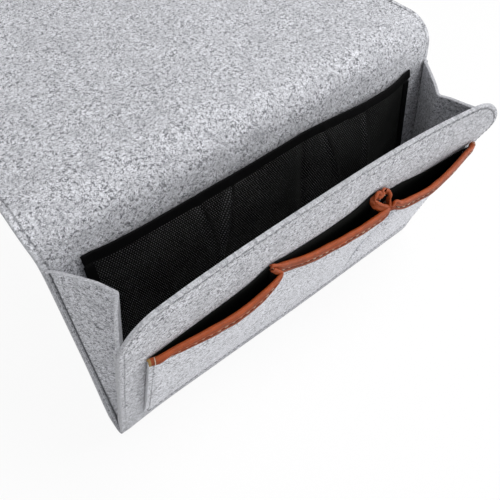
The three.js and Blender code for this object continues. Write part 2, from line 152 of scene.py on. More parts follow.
# Mouths of the three pockets: place across, how far the rim stands off the panel, and its height on the front
MOUTHS = {
    "left": [(-141.8, 1.0, 141), (-127, 2.4, 140.5), (-109, 4.9, 140), (-93, 6.8, 140), (-84.5, 7.4, 140),
             (-75.4, 7.4, 140.6), (-65.9, 6.9, 141.5), (-59.2, 6.2, 142.3), (-53.8, 5.4, 143.2), (-48.8, 4.2, 144.2),
             (-49.0, 3.2, 145.2), (-50.6, 2.4, 147), (-52.6, 1.6, 149.2), (-54.4, 0.9, 151)],
    "middle": [(-55, -0.7, 153.4), (-51.8, 0, 151.4), (-48, 0.7, 149), (-43.1, 1.3, 147), (-38.2, 1.9, 145.2),
               (-33.4, 2.6, 143.8), (-28.6, 3.3, 142.6), (-18.8, 4.5, 140.8), (-8.7, 5.3, 140), (1, 6.5, 140),
               (11.4, 7.2, 140), (22, 7.9, 140), (34.9, 8.1, 141), (42, 7.8, 141.8), (45.2, 7.0, 142.2),
               (41.6, 5.6, 145), (36.6, 3.4, 148.6), (34, 1.6, 151.5), (33.6, 0.6, 154.5), (36, -0.4, 157),
               (38.4, 0.6, 155), (40.4, -0.4, 156.4), (43, -0.8, 155)],
    "right": [(44.0, -0.4, 154.4), (46.5, 1.0, 152.5), (47.8, 2.8, 148.5), (47, 5.2, 145), (46.3, 7.0, 143),
              (48, 8.0, 143.6), (50.4, 7.8, 146.2), (54.7, 9.0, 143.4), (60.4, 9.8, 142), (66.9, 10.1, 141),
              (79.2, 11.0, 140), (85.2, 11.4, 140), (92.4, 10.9, 140), (99.7, 10.3, 140), (107.5, 9.3, 140),
              (115.8, 7.9, 140), (125, 5.8, 140), (134.5, 3.5, 140), (142.7, 1.9, 140), (147.5, 0.6, 139.5)],
}
# Feet of the three pockets from end to end, the seams between them, and the shares of each mouth that are pleated
FEET = {"left": (-142.4, -47.1), "middle": (-46.5, 49.7), "right": (50.3, 148.5)}
DIVISIONS = {"left": -46.8, "right": 50.0}
PLEATED = {"left": (0.0, 0.34), "middle": (0.1, 0.38), "right": (0.42, 0.0)}
# Sides of the lining, and how far its foot lies above the pockets' foot
LINING_SIDES = (-139.5, 146.5)
LINING_FOOT_RISE = 8
# Top edge of the lining: place across and height on the front
LINING_EDGE = [(-145, 139.5), (-117, 140.2), (-97, 141), (-80, 142.3), (-66, 145), (-57, 150.2), (-50, 151.2),
               (-40, 148.5), (-28, 147.1), (-6, 145.8), (12, 147.3), (22, 150), (30, 155.6), (36, 156), (44, 151.5),
               (56, 145.8), (68, 144.5), (84, 140), (99, 136.8), (121, 134.2), (145, 133.5)]

# Rounded rim of a sheet, as sines of 45 and 90 degrees, and how a stitch rises from its ends to its middle
RING = np.array([0.707, 1.0])
STITCH_LIFT = np.array([-0.35, 0.05, 0.22, 0.22, 0.05, -0.35])
# Faces that the rims add to a grid's points along each way
RIM_FACES = 2 * len(RING) - 1
# Least half thickness of a rim, and the angle from which an edge is shown as sharp
THINNEST = 0.05
SHARP_ANGLE = math.radians(55)
# Points along a pocket's mouth, and how many sine waves make up an unevenness
MOUTH_POINTS = 161
WAVES = 5
# Seeds of the unevenness by what it bends. The pockets add their place in the row.
SEEDS = {"flap": 11, "front": 23, "mesh": 5, "pocket": 40, "pucker": 60, "crumple": 70}
# Leather trims: the groove's depth and the back leg as shares of the front leg, and how far the rolls swell out
TRIM_GROOVE, TRIM_BACK, TRIM_SWELL = 0.52, 0.8, 0.28
# Points of a binding's section: down its front leg, over the edge, and down its back leg
LEG_STEPS, TURN_STEPS, BACK_STEPS = 12, 11, 6

# Lights: their power's setting, their size and their way off from the caddy, in metres
LIGHTS = {
    "key": ("key_power", 0.9, (0.6, -0.45, 1.35)),
    "front": ("fill_power", 1.0, (1.12, -0.82, 0.1)),
    "side": ("side_power", 1.0, (-1.3, -0.5, 0.05)),
}


# ---------------------------------------------------------------------------------------------- settings


def srgb(*display):
    """Linear colour of a display colour given from 0 to 255."""
    display = np.array(display) / 255.0
    linear = np.where(display <= 0.04045, display / 12.92, ((display + 0.055) / 1.055) ** 2.4)
    return tuple(float(part) for part in linear)


def number(name, description, default, **kind):
    """A number, angle or power that a user may change."""
    return bpy.props.FloatProperty(name=name, description=description, default=default, **kind)


def length(name, description, default):
    """A size in metres that a user may change."""
    return number(name, description, default, unit="LENGTH", precision=4)


def angle(name, description, degrees):
    """An angle that a user may change."""
    return number(name, description, math.radians(degrees), subtype="ANGLE")


def colour(name, description, *display):
    """A colour that a user may change."""
    return bpy.props.FloatVectorProperty(
        name=name, description=description, default=srgb(*display), subtype="COLOR", size=3, min=0, max=1
    )


class CaddySizes(bpy.types.PropertyGroup):
    """Sizes of the caddy's felt, folds and stitches."""

    felt: length("Felt", "Thickness of the body's felt", 0.003)
    pocket_felt: length("Pocket felt", "Thickness of the pocket walls' felt", 0.0025)
    half_width: length("Half width", "Half the width of the flap and the back", 0.1616)
    front_half_width: length("Front half width", "Half the width of the front at its foot", 0.1602)
    taper_left: length("Left taper", "How much the front's left side draws in towards its top", 0.003)
    taper_right: length("Right taper", "How much the front's right side draws in towards its top", 0.0005)
    front_height: length("Front height", "Height of the front along its slope", 0.191)
    front_corner: length("Front corner", "Radius of the front's left top corner", 0.024)
    slack_across: length("Slack corner across", "Width of the front's softer right top corner", 0.042)
    slack_down: length("Slack corner down", "Height of the front's softer right top corner", 0.042)
    flap_length: length("Flap length", "Length of the flap past its bend", 0.25)
    flap_corner: length("Flap corner", "Radius of the flap's far corners", 0.02)
    flap_rise: angle("Flap rise", "Slope of the flap", 10)
    bend_radius: length("Bend radius", "Radius of the bend between flap and back", 0.021)
    bend_height: length("Bend height", "Height at which the back starts to bend", 0.179)
    gusset_height: length("Gusset height", "Height of the side gussets", 0.168)
    mesh_top: length("Mesh top", "Height of the mesh organiser's middle", 0.164)
    mesh_bulge: length("Mesh bulge", "How far the mesh stands off the back", 0.007)
    mesh_pitch: length("Mesh pitch", "Distance between the holes of the mesh", 0.0015)
    ribbon_leg: length("Ribbon leg", "Width of the black ribbon on each side", 0.0058)
    trim_leg: length("Trim leg", "Height of the leather trim's outer leg", 0.0055)
    seam_inset: length("Seam inset", "Distance of the stitching from the felt's edge", 0.0033)
    front_inset: length("Front seam inset", "Distance of the front's stitching from its edge", 0.0025)
    stitch: length("Stitch", "Length of one stitch", 0.0034)
    stitch_gap: length("Stitch gap", "Gap between stitches", 0.0011)


class CaddyColours(bpy.types.PropertyGroup):
    """Colours of the caddy's materials."""

    felt_light: colour("Felt light", "Palest fibres of the felt", 229, 230, 236)
    felt: colour("Felt", "Middle tone of the felt", 190, 191, 196)
    # felt_dark, darkened, also paints the shade in the felt's seam grooves
    felt_dark: colour("Felt dark", "Dark fibres of the felt", 98, 99, 106)
    # Tints of leather paint the trims' highlight and shade, and leather_dark the shade in their stitch groove
    leather: colour("Leather", "Brown leather binding", 158, 70, 25)
    leather_dark: colour("Leather dark", "Creases of the leather", 58, 22, 10)
    leather_edge: colour("Leather edge", "Raw cut edge of the leather", 176, 140, 84)
    # Tints of mesh also paint the folds' highlight and shadow, and patches of light from the felt behind it
    mesh: colour("Mesh", "Black mesh yarn", 26, 27, 26)
    ribbon: colour("Ribbon", "Black ribbon", 4, 4, 5)
    lining: colour("Lining", "Black lining", 20, 21, 20)
    thread_grey: colour("Grey thread", "Thread of the felt seams", 150, 151, 156)
    thread_black: colour("Black thread", "Thread of the mesh", 18, 18, 20)
    thread_cream: colour("Cream thread", "Thread of the leather trims", 214, 194, 170)


class CaddyStage(bpy.types.PropertyGroup):
    """Camera, lights and floor."""

    camera_place: bpy.props.FloatVectorProperty(
        name="Camera place", description="Place of the camera from the bottom fold's pivot",
        default=(-0.1996, -0.2379, 0.3794), subtype="TRANSLATION", unit="LENGTH",
    )
    azimuth: angle("Azimuth", "Turn of the view", -36.25)
    elevation: angle("Elevation", "How steeply it looks down", 44.22)
    roll: angle("Roll", "Lean of the camera", 5.85)
    lens: number("Lens", "Focal length in millimetres on a 36 mm sensor", 40.98)
    key_power: number("Key light", "Power of the key light", 15.0, unit="POWER")
    fill_power: number("Front light", "Power of the low light in front", 9.3, unit="POWER")
    side_power: number("Side light", "Power of the light on the left", 3.3, unit="POWER")
    ambient: number("Ambient", "Strength of the even light all round", 0.5)


def millimetres(context):
    """The caddy's sizes in millimetres, and its angles as they are."""
    group = context.scene.caddy_sizes
    scale = {key: 1000 if group.bl_rna.properties[key].unit == "LENGTH" else 1 for key in group.__annotations__}
    return SimpleNamespace(**{key: by * getattr(group, key) for key, by in scale.items()})


# ---------------------------------------------------------------------------------------------- surfaces


def unit(vectors):
    """Vectors scaled to length one."""
    return vectors / np.maximum(np.linalg.norm(vectors, axis=-1, keepdims=True), 1e-9)


def grid(*parts):
    """Places whose coordinates are the given parts, spread to one shape."""
    return np.stack(np.broadcast_arrays(*parts), axis=-1)


def normals(mid):
    """Normals of a grid of points: the cross product of its steps along rows and columns."""
    return unit(np.cross(np.gradient(mid, axis=0), np.gradient(mid, axis=1)))


def smoothstep(low, high, values):
    """0 below low, 1 above high, and an even S between them."""
    t = np.clip((values - low) / (high - low), 0, 1)
    return t * t * (3 - 2 * t)


def bell(values, middle, width):
    """Bell curve: e to the minus square of the distance from the middle in widths."""
    return np.exp(-(((values - middle) / width) ** 2))


def wave(a, b, shortest, longest, seed):
    """Gentle unevenness over two lengths: the sum of five sine waves of fixed directions, lengths and phases."""
    source = np.random.default_rng(seed)
    turns = source.uniform(0, 2 * np.pi, WAVES)
    lengths = source.uniform(shortest, longest, WAVES)
    phases = source.uniform(0, 2 * np.pi, WAVES)
    along = a[..., None] * np.cos(turns) + b[..., None] * np.sin(turns)
    return np.sin(2 * np.pi * along / lengths + phases).sum(-1) / (WAVES / 2)


def uneven(mid, cut, amount, seed, shortest=70, longest=170):
    """A surface moved along its normals by a gentle wave of the given amount."""
    height = amount * wave(cut[..., 0], cut[..., 1], shortest, longest, seed)
    return mid + normals(mid) * height[..., None]


def smooth_curve(control, count):
    """Catmull-Rom curve through control points: on each stretch the cubic blend of its four nearest points."""
    points = np.array(control, dtype=float)
    points = np.vstack([2 * points[0] - points[1], points, 2 * points[-1] - points[-2]])
    t = np.linspace(0, len(points) - 3, count)
    first = np.minimum(t.astype(int), len(points) - 4)
    f = (t - first)[:, None]
    a, b, c, d = (points[first + k] for k in range(4))
    return 0.5 * (2 * b + (c - a) * f + (2 * a - 5 * b + 4 * c - d) * f ** 2 + (3 * b - a - 3 * c + d) * f ** 3)


def run_along(points, axis=0):
    """Lengths along lines of points, summed from step to step and starting with 0."""
    steps = np.linalg.norm(np.diff(points, axis=axis), axis=-1)
    return np.insert(np.cumsum(steps, axis=axis), 0, 0.0, axis=axis)


def cut_lengths(mid):
    """Flat pattern of a grid: lengths along its columns and its rows."""
    return grid(run_along(mid, 1), run_along(mid, 0))


def edge_distance(places, lines):
    """Distance of flat places from the nearest of several lines: from each place to each straight step of a line,
    the length of what is left after the nearest share of the step is taken off."""
    start = np.concatenate([line[:-1] for line in lines])
    step = np.concatenate([np.diff(line, axis=0) for line in lines])
    away = places[:, None] - start
    share = np.clip((away * step).sum(-1) / np.maximum((step * step).sum(-1), 1e-9), 0, 1)
    return np.linalg.norm(away - share[..., None] * step, axis=-1).min(axis=1)


def closed_sheet(mid, half, cut, rim=0.8, square=(), measured=()):
    """A mid-surface closed into a sheet with a rounded rim.

    Both faces lie half a thickness off the mid-surface along its normals. Past the border two rings run on by
    the rim's radius times the sine of 45 and 90 degrees, while the thickness falls by the radius times one minus
    the cosine. Sides named in square end flat instead. cut is the flat pattern that becomes the UV map, and the
    last result is how far in from the sheet's free edges, or from the sides named in measured, each point lies.
    """
    rows, columns = mid.shape[:2]
    sides = {"start": cut[0], "end": cut[-1], "left": cut[:, 0], "right": cut[:, -1]}
    top, bottom, left, right = (0 if side in square else len(RING) for side in sides)
    row_reach = np.concatenate([RING[::-1][:top], np.zeros(rows), RING[:bottom]])
    column_reach = np.concatenate([RING[::-1][:left], np.zeros(columns), RING[:right]])

    def padded(values, *pads):
        return np.pad(values, (*pads, *[(0, 0)] * (values.ndim - len(pads))), mode="edge").astype(float)

    def grown(values):
        out = padded(values, (top, bottom), (left, right))
        first, last = (padded(unit(values[a] - values[b]), (left, right)) for a, b in ((0, 1), (-1, -2)))
        west, east = (padded(unit(values[:, a] - values[:, b]), (top, bottom)) for a, b in ((0, 1), (-1, -2)))
        out[:top] += rim * row_reach[:top, None, None] * first
        out[rows + top:] += rim * row_reach[rows + top:, None, None] * last
        out[:, :left] += rim * column_reach[None, :left, None] * west[:, None]
        out[:, columns + left:] += rim * column_reach[None, columns + left:, None] * east[:, None]
        return out

    place = grown(mid)
    index = np.arange(place.shape[0] * place.shape[1]).reshape(place.shape[:2])
    place, flat = place.reshape(-1, 3), grown(cut).reshape(-1, 2)
    normal = padded(normals(mid), (top, bottom), (left, right)).reshape(-1, 3)
    reach = np.maximum(row_reach[:, None], column_reach).reshape(-1, 1)
    depth = padded(np.broadcast_to(half, (rows, columns)), (top, bottom), (left, right)).reshape(-1, 1)
    depth = np.maximum(depth - rim * (1 - np.sqrt(1 - reach ** 2)), THINNEST)

    count = len(place)
    border = np.concatenate([index[0, :-1], index[:-1, -1], index[-1, :0:-1], index[:0:-1, 0]])
    after = np.roll(border, -1)
    middle = 2 * count + np.arange(len(border))
    middle_after = np.roll(middle, -1)
    front = grid(index[:-1, :-1], index[1:, :-1], index[1:, 1:], index[:-1, 1:]).reshape(-1, 4)
    faces = np.concatenate([
        front, front[:, ::-1] + count,
        grid(border, after, middle_after, middle), grid(middle, middle_after, after + count, border + count),
    ])
    edge = flat[border]
    way = unit(np.roll(edge, -1, axis=0) - np.roll(edge, 1, axis=0))
    turn = np.sum(edge[:, 0] * np.roll(edge[:, 1], -1) - np.roll(edge[:, 0], -1) * edge[:, 1])
    away = np.sign(turn) * grid(way[:, 1], -way[:, 0]) * depth[border]
    points = np.concatenate([place + normal * depth, place - normal * depth, place[border]])
    wanted = measured or set(sides) - set(square)
    free = [line for side, line in sides.items() if side in wanted]
    inset = edge_distance(flat, free) * np.where(reach[:, 0] > 0, -1, 1)
    inset = np.concatenate([inset, inset, np.full(len(border), -2.0 * rim)])
    return points, faces, np.concatenate([flat, flat, edge + away]), inset


def threads(paths, radius, taper=0.7):
    """Round threads along many paths at once: a six-sided ring at each point, square to the path, with flat ends.

    paths is an array of threads by points by three. Rings shrink to taper at both ends.
    """
    count, steps = paths.shape[:2]
    along = unit(np.gradient(paths, axis=1))
    guide = np.where(np.abs(along[..., :1]) > 0.8, [0.0, 0.0, 1.0], [1.0, 0.0, 0.0])
    side = unit(np.cross(along, guide))
    other = np.cross(along, side)
    turn = np.linspace(0, 2 * np.pi, 7)[:-1]
    size = np.full(steps, float(radius))
    size[[0, -1]] *= taper
    ring = side[:, :, None] * np.cos(turn)[:, None] + other[:, :, None] * np.sin(turn)[:, None]
    points = paths[:, :, None] + ring * size[:, None, None]
    index = np.arange(steps * 6).reshape(steps, 6)
    nearer, further = index[:-1], index[1:]
    walls = grid(nearer, np.roll(nearer, -1, 1), np.roll(further, -1, 1), further).reshape(-1, 4)
    low, high = index[0], index[-1]
    ends = np.array([low[[3, 2, 1, 0]], low[[5, 4, 3, 0]], high[[0, 1, 2, 3]], high[[0, 3, 4, 5]]])
    faces = np.concatenate([walls, ends])
    faces = (faces[None] + (np.arange(count) * steps * 6)[:, None, None]).reshape(-1, 4)
    cut = grid(run_along(paths, 1)[:, :, None], turn * radius).reshape(-1, 2)
    return points.reshape(-1, 3), faces, cut, np.zeros(len(cut))


def stitch_paths(path, out, stitch, gap):
    """Stitches along a line: each is a short arch whose ends dive into the felt.

    The line is measured along its length and cut into equal steps of one stitch and one gap. Each stitch's points
    are read off the line at even shares of its length and lifted along the way out by STITCH_LIFT.
    """
    run = run_along(path)
    count = max(int(run[-1] // (stitch + gap)), 1)
    share = np.linspace(0, 1, len(STITCH_LIFT))
    at = (np.arange(count)[:, None] + 0.5) * (run[-1] / count) + (share - 0.5) * stitch
    out = np.broadcast_to(out, path.shape)
    place, way = (grid(*(np.interp(at, run, line[:, k]) for k in range(3))) for line in (path, out))
    return place + way * STITCH_LIFT[:, None]


def joined(*shells):
    """Several meshes as one: points, faces, flat patterns and insets one after another."""
    starts = np.cumsum([0] + [len(shell[0]) for shell in shells[:-1]])
    faces = np.concatenate([shell[1] + start for shell, start in zip(shells, starts)])
    points, cut, inset = (np.concatenate([shell[part] for shell in shells]) for part in (0, 2, 3))
    return points, faces, cut, inset


def to_row(point):
    """A place in the pocket's frame, in millimetres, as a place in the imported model's frame, in metres."""
    return tuple(float(part) for part in (np.asarray(point, dtype=float) + PIVOT) / 1000)


def add_piece(name, shell, materials, slot, nodes, body=None, chosen=None):
    """Makes an object of points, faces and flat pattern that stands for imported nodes, and rides a body if one is
    given. chosen is each face's place in the list of materials."""
    points, faces, cut, inset = shell
    mesh = bpy.data.meshes.new(name)
    mesh.from_pydata(((points + PIVOT) / 1000).tolist(), [], faces.tolist())
    corners = np.empty(len(mesh.loops), dtype=np.int32)
    mesh.loops.foreach_get("vertex_index", corners)
    pattern = mesh.uv_layers.new(name="cut")
    pattern.data.foreach_set("uv", (cut[corners] / 1000).astype(np.float32).ravel())
    mesh.attributes.new("inset", "FLOAT", "POINT").data.foreach_set("value", inset.astype(np.float32))
    mesh.shade_smooth()
    mesh.set_sharp_from_angle(angle=SHARP_ANGLE)
    for material in materials:
        mesh.materials.append(material)
    if chosen is not None:
        mesh.polygons.foreach_set("material_index", chosen.astype(np.int32))
    piece = bpy.data.objects.new(name, mesh)
    bpy.context.scene.collection.objects.link(piece)
    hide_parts(*nodes)
    if body:
        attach(piece, body)
    return piece


# ---------------------------------------------------------------------------------------------- forms


def front_bow(x, s):
    """How far the front is pushed in at a place across and a height on it.

    A parabola across the width less a bell curve left of the middle, grown with the height to the power 1.5, and a
    small even lean outwards. The right flank is drawn in by a parabola over the height and bulges out by a bell curve
    below its corner. A bell curve across draws the upper edge in a little more.
    """
    x, s = np.asarray(x, dtype=float), np.asarray(s, dtype=float)
    u = x / 150.0
    up = np.clip(s, 0, None) / 190.0
    flank = 2.8 * smoothstep(60, 150, x) * 4 * up * np.clip(1 - up, 0, None)
    bulge = 1.5 * smoothstep(100, 155, x) * bell(s, 158, 18)
    lip = 1.5 * bell(x, 50, 100) * smoothstep(0.8, 1.0, up)
    hollow = 12.5 - 3.8 * u - 8.8 * u * u - 2.5 * bell(x, -30, 95)
    return flank + lip - bulge + hollow * up ** 1.5 - 7.0 * up


def fold_lift(x, s):
    """How far the bottom fold lies off the floor left of the middle: two bell curves that fade out up the front."""
    return (2.0 * bell(x, -128, 36) + 2.8 * bell(x, -85, 75)) * (1 - smoothstep(10, 90, s))


def front_place(x, off, s, bow=1.0):
    """A place on the front, turned by the opening: across, in from the pivot's plane, and up the front's slope."""
    off = off + bow * front_bow(x, s)
    y = off * math.cos(OPENING) - s * math.sin(OPENING)
    z = off * math.sin(OPENING) + s * math.cos(OPENING) + bow * fold_lift(x, s)
    return grid(x, y, z)


def edge_columns(count):
    """Shares across a sheet from -1 to 1, with one close to each edge so that the edge shades crisply."""
    return np.concatenate([[-1.0], np.linspace(-0.993, 0.993, count), [1.0]])


def flap_shift(sizes, run):
    """Slight skew of the sheet: to the left on the flap and to the right on the back, by a smooth step at the bend."""
    reach = sizes.flap_length
    return -1.3 + 2.2 * smoothstep(reach + 3, reach + 38, run) - 0.9 * smoothstep(reach + 120, reach + 190, run)


def bend_end(sizes):
    """Where the arc of the bend runs into the flap."""
    bend = math.pi / 2 - sizes.flap_rise
    y = FOLD_RADIUS + sizes.bend_radius * (1 - math.cos(bend))
    return 0, y, sizes.bend_height + sizes.bend_radius * math.sin(bend)


def flap_and_back(sizes):
    """Mid-surface of flap, bend and back: a straight line across, carried along a path of two straights and an arc.

    The flap's far corners are quarter circles in its outline. Returns the grid and its flat pattern.
    """
    width, corner, radius = sizes.half_width, sizes.flap_corner, sizes.bend_radius
    height, reach = sizes.bend_height, sizes.flap_length
    bend = math.pi / 2 - sizes.flap_rise
    rounded = corner * (1 - np.cos(np.linspace(0, np.pi / 2, 10)))
    from_end = np.concatenate([rounded, np.linspace(corner, reach, 28)[1:]])
    past = reach - from_end
    turn = np.linspace(bend, 0, 20)[1:]
    drop = np.linspace(height, BACK_SPLIT, 26)[1:]
    _, end_y, end_z = bend_end(sizes)
    y = np.concatenate([
        end_y + past * math.sin(bend), FOLD_RADIUS + radius * (1 - np.cos(turn)), np.full(len(drop), FOLD_RADIUS)
    ])
    z = np.concatenate([end_z + past * math.cos(bend), height + radius * np.sin(turn), drop])
    run = run_along(grid(y, z))
    half = width - corner + np.sqrt(corner ** 2 - np.clip(corner - from_end, 0, None) ** 2)
    half = np.concatenate([half, np.full(len(turn) + len(drop), width)]) + bell(run, reach + 20, 16)
    x = half[:, None] * edge_columns(49)
    mid = grid(x + flap_shift(sizes, run)[:, None], y[:, None], z[:, None])
    cut = grid(x, run[:, None])
    amount = np.interp(run, [0, reach, reach + 30, run[-1] - 80, run[-1]], [1.3, 0.9, 0.35, 0.12, 0])
    return uneven(mid, cut, amount[:, None], SEEDS["flap"]), cut


def front_half(sizes, s, side):
    """Half width of the front at a height: a side that draws in towards the top and a quarter ellipse at the corner.

    side is -1 on the left, where it is a circle, and 1 on the right, where the corner is worn softer: there the powers
    of two in the ellipse's equation are 1.6.
    """
    left = np.asarray(side) < 0
    across = np.where(left, sizes.front_corner, sizes.slack_across)
    down = np.where(left, sizes.front_corner, sizes.slack_down)
    taper = np.where(left, sizes.taper_left, sizes.taper_right)
    share = np.clip((s - sizes.front_height + down) / down, 0, 1)
    power = np.where(left, 2.0, 1.6)
    edge = sizes.front_half_width - taper * np.clip((s - 30) / 150, 0, 1)
    return edge - across * (1 - (1 - share ** power) ** (1 / power))


def fold_and_front(sizes, start):
    """Mid-surface of the bottom fold and the front: back's foot, an arc round the pivot and the sloped front.

    The front's outline comes from front_half, and front_bow bends it. start is where its flat pattern begins along
    the sheet. Between back and front the width changes evenly over the fold, and fold_lift sets in smoothly.
    """
    corner, shoulder = sizes.front_corner, sizes.front_height - sizes.front_corner
    foot = np.linspace(BACK_SPLIT, 0, 5)
    turn = np.linspace(0, math.pi - OPENING, 16)[1:-1]
    s = np.concatenate([
        np.linspace(0, shoulder, 34), shoulder + corner * np.sin(np.linspace(0, np.pi / 2, 16))[1:]
    ])
    columns = edge_columns(85)
    before = np.concatenate([grid(FOLD_RADIUS, foot), FOLD_RADIUS * grid(np.cos(turn), -np.sin(turn))])
    run = run_along(before)
    hinge = BACK_SPLIT + FOLD_RADIUS * (math.pi - OPENING)
    change = (run / hinge)[:, None]
    x_before = (sizes.half_width * (1 - change) + sizes.front_half_width * change) * columns
    lift = fold_lift(x_before, 0.0) * smoothstep(0, 1, change)
    x = front_half(sizes, s[:, None], columns) * columns
    mid = np.concatenate([
        grid(x_before, before[:, :1], before[:, 1:] + lift), front_place(x, -FOLD_RADIUS, s[:, None])
    ])
    run = start + np.concatenate([run, hinge + s])
    cut = grid(np.concatenate([x_before, x]), run[:, None])
    amount = smoothstep(start + hinge + 5, start + hinge + 60, run) * 0.35
    return uneven(mid, cut, amount[:, None], SEEDS["front"]), cut, start + hinge


def margin_width(facing, level):
    """Width of a gusset's sewn margin: even, and drawn in by a smooth step towards its top, to 1.6 mm."""
    return 1.6 + (0.4 if facing < 0 else 1.8) * (1 - smoothstep(0.5, 1.0, level))


def gusset_felt(sizes, height):
    """Half the thickness of a gusset's felt, which is squeezed thin towards its foot."""
    return np.clip(0.042 * height, 0.4, 0.4 * sizes.felt)


def seam_out(sizes, side, facing, level):
    """How far outside the turning line a gusset's felt turns off its panel: on the back a little more towards the
    top of the right side, on the front so that the margin ends at the panel's edge."""
    if facing < 0:
        return 5.0 + SEAM_TOP_OUT[side] * smoothstep(0.4, 1.0, level)
    edge = front_half(sizes, sizes.gusset_height * level, side)
    return np.minimum(edge - SEAM_X - margin_width(facing, level) - 0.4, 3.6)


def gusset_half(sizes, side, facing):
    """Mid-surface of one gusset's margin and half, and half its thickness.

    Its section is a straight margin, an arc of GUSSET_FOLD, a straight half and a last arc up to the crease. Past
    the seam the section shrinks evenly towards the fold's pivot, so the half is a fan of straight lines. Towards
    the foot the felt is squeezed thin and lies on its panel. side is -1 on the left, facing is -1 on the back.
    """
    height = sizes.gusset_height
    sine, cosine = math.sin(GUSSET_FOLD), math.cos(GUSSET_FOLD)
    crease = height * GUSSET_SLOPE / (1 + GUSSET_SLOPE ** 2)
    seam_run = GUSSET_SEAM_RADIUS * math.tan(GUSSET_FOLD / 2)
    last_turn = math.pi / 2 - GUSSET_FOLD
    end = crease - GUSSET_CREASE_RADIUS * math.tan(last_turn / 2) * (1 + 0.6 / sine)
    turn = np.linspace(0, GUSSET_FOLD, 8)
    arc = GUSSET_SEAM_RADIUS * grid(np.sin(turn), 1 - np.cos(turn)) - [seam_run, 0]
    ways = np.array([cosine, sine])
    straight = np.linspace(seam_run, end, 16)[1:, None] * ways
    swing = GUSSET_FOLD + np.linspace(0, last_turn, 6)[1:]
    bow = GUSSET_CREASE_RADIUS * grid(np.sin(swing) - sine, cosine - np.cos(swing))
    section = np.concatenate([arc, straight, straight[-1] + bow])
    reach = np.maximum(section @ ways, 0)
    share = np.clip(reach / crease, 0, 1)
    top = height - GUSSET_SLOPE * reach + GUSSET_ARCH[side, facing] * np.sin(np.pi * share)
    top = top - CREASE_DROP[side] * smoothstep(0.72, 1.0, share)

    level = np.concatenate([np.linspace(0.05, 0.985, 30), [0.995, 1.0]])[:, None]
    margin = np.array([1.0, 0.9, 0.66, 0.33])
    flat = np.zeros((len(level), len(margin)))
    sewn = -seam_run * level - margin * np.maximum(margin_width(facing, level) - seam_run * level, 0.3)
    inwards = np.concatenate([sewn, section[:, 0] * level], axis=1)
    off = np.concatenate([flat, section[:, 1] * level], axis=1)
    z = np.concatenate([flat + height * level, top * level], axis=1)
    share = np.concatenate([flat[0], share])
    puff = 0.9 * np.sin(np.pi * share) * level ** 2
    half = gusset_felt(sizes, z)
    shift = seam_out(sizes, side, facing, level) * (1 - share) + CREASE_OUT[side] * share * level ** 2
    x = side * (SEAM_X + shift - inwards + puff * sine)
    off = facing * (off - (0.5 * sizes.felt - half) - puff * cosine)
    if facing < 0:
        return grid(x, off, z), half
    return front_place(x, off, z, bow=1 - smoothstep(0, 1, share)), half


def mesh_place(sizes, x, up):
    """A place on the mesh: across, and from its foot to its top.

    It lies flat at the sides and the divider and stands off in each bay by one minus the cube of the share across,
    grown with the root of the height. The top edge is held straight by its ribbon, so the bays there run into one.
    Each soft fold adds a narrow ridge, a bell curve across that is highest a little below the ribbon.
    """
    inner = MESH_SIDE - sizes.ribbon_leg
    left = x < MESH_DIVIDER
    low = np.where(left, -inner, MESH_DIVIDER)
    high = np.where(left, MESH_DIVIDER, inner)
    bay = np.clip(1 - np.abs(2 * (x - low) / (high - low) - 1) ** 3, 0, None)
    whole = np.clip(1 - np.abs(x / inner) ** 8, 0, None)
    taut = smoothstep(0.72, 1.0, up)
    ridge = sum(
        full * smoothstep(begin - 0.15, 0.9, up) * bell(x - lean * (1 - up), top, 2.6)
        for top, lean, begin, full in MESH_FOLDS
    ) * (1 - 0.9 * smoothstep(0.9, 1.0, up)) * bay
    slack = 0.6 * wave(x, 150 * up, 45, 110, SEEDS["mesh"]) * bay * (1 - taut)
    stand = (sizes.mesh_bulge * bay + 4.5 * ridge) * np.sqrt(up) * (1 - taut)
    stand = stand + (3.0 * whole + 0.6 * bay + 2.0 * ridge) * taut + slack * up
    edge = smooth_curve(MESH_EDGE, 200)
    top = np.interp(x, edge[:, 0], edge[:, 1]) + sizes.mesh_top - MESH_MIDDLE
    return grid(x, MESH_REST - stand, MESH_FOOT + up * (top - MESH_FOOT))


def pleats(name, count):
    """How tightly each point along a pocket's mouth is pressed flat: 1 at the ends that are pleated, 0 elsewhere."""
    share = np.linspace(0, 1, count)
    first, last = PLEATED[name]
    start = 1 - smoothstep(0.6 * first, first, share) if first else 0 * share
    end = smoothstep(1 - last, 1 - 0.6 * last, share) if last else 0 * share
    return np.maximum(start, end)


def pocket_wall(name):
    """Mid-surface of one pocket's wall: rows from its foot to its mouth.

    The foot is straight along the front and pressed against it. Each point leaves it for its place on the mouth's
    curve, outwards with the height to the power 1.7 and across with its cube, so that pleats form at the mouth only.
    Below the mouth the wall bellies out by t e^(1 - t), where t is the depth below the mouth, so the mouth leans in.
    Ends that are sewn down are pressed against the front by a smooth step.
    """
    mouth = smooth_curve(MOUTHS[name], MOUTH_POINTS)
    pressed = pleats(name, len(mouth))
    step = np.diff(run_along(mouth[:, :2])) * (1 - 0.85 * pressed[1:])
    run = np.insert(np.cumsum(step), 0, 0.0)
    base = np.interp(run / run[-1], [0, 1], FEET[name])
    up = np.concatenate([np.linspace(0, 0.93, 26), np.linspace(0.94, 1.0, 7)])[:, None]
    below = (1 - up) / 0.09
    belly = 1.5 * (1 - pressed) * np.clip(mouth[:, 1] / 5, 0, 1) * below * np.exp(1 - below)
    sewn = {"left": 1 - smoothstep(0, 6, run), "middle": 0, "right": 1 - smoothstep(0, 6, run[-1] - run)}[name]
    stand = mouth[:, 1] * up ** 1.7 + belly - 1.4 * sewn
    seat = POCKET_SEAT - POCKET_PRESS * (1 - smoothstep(0, 0.22, up))
    s = POCKET_FOOT + (mouth[:, 2] - POCKET_FOOT) * up
    return front_place(base + (mouth[:, 0] - base) * up ** 3, -seat - stand, s)


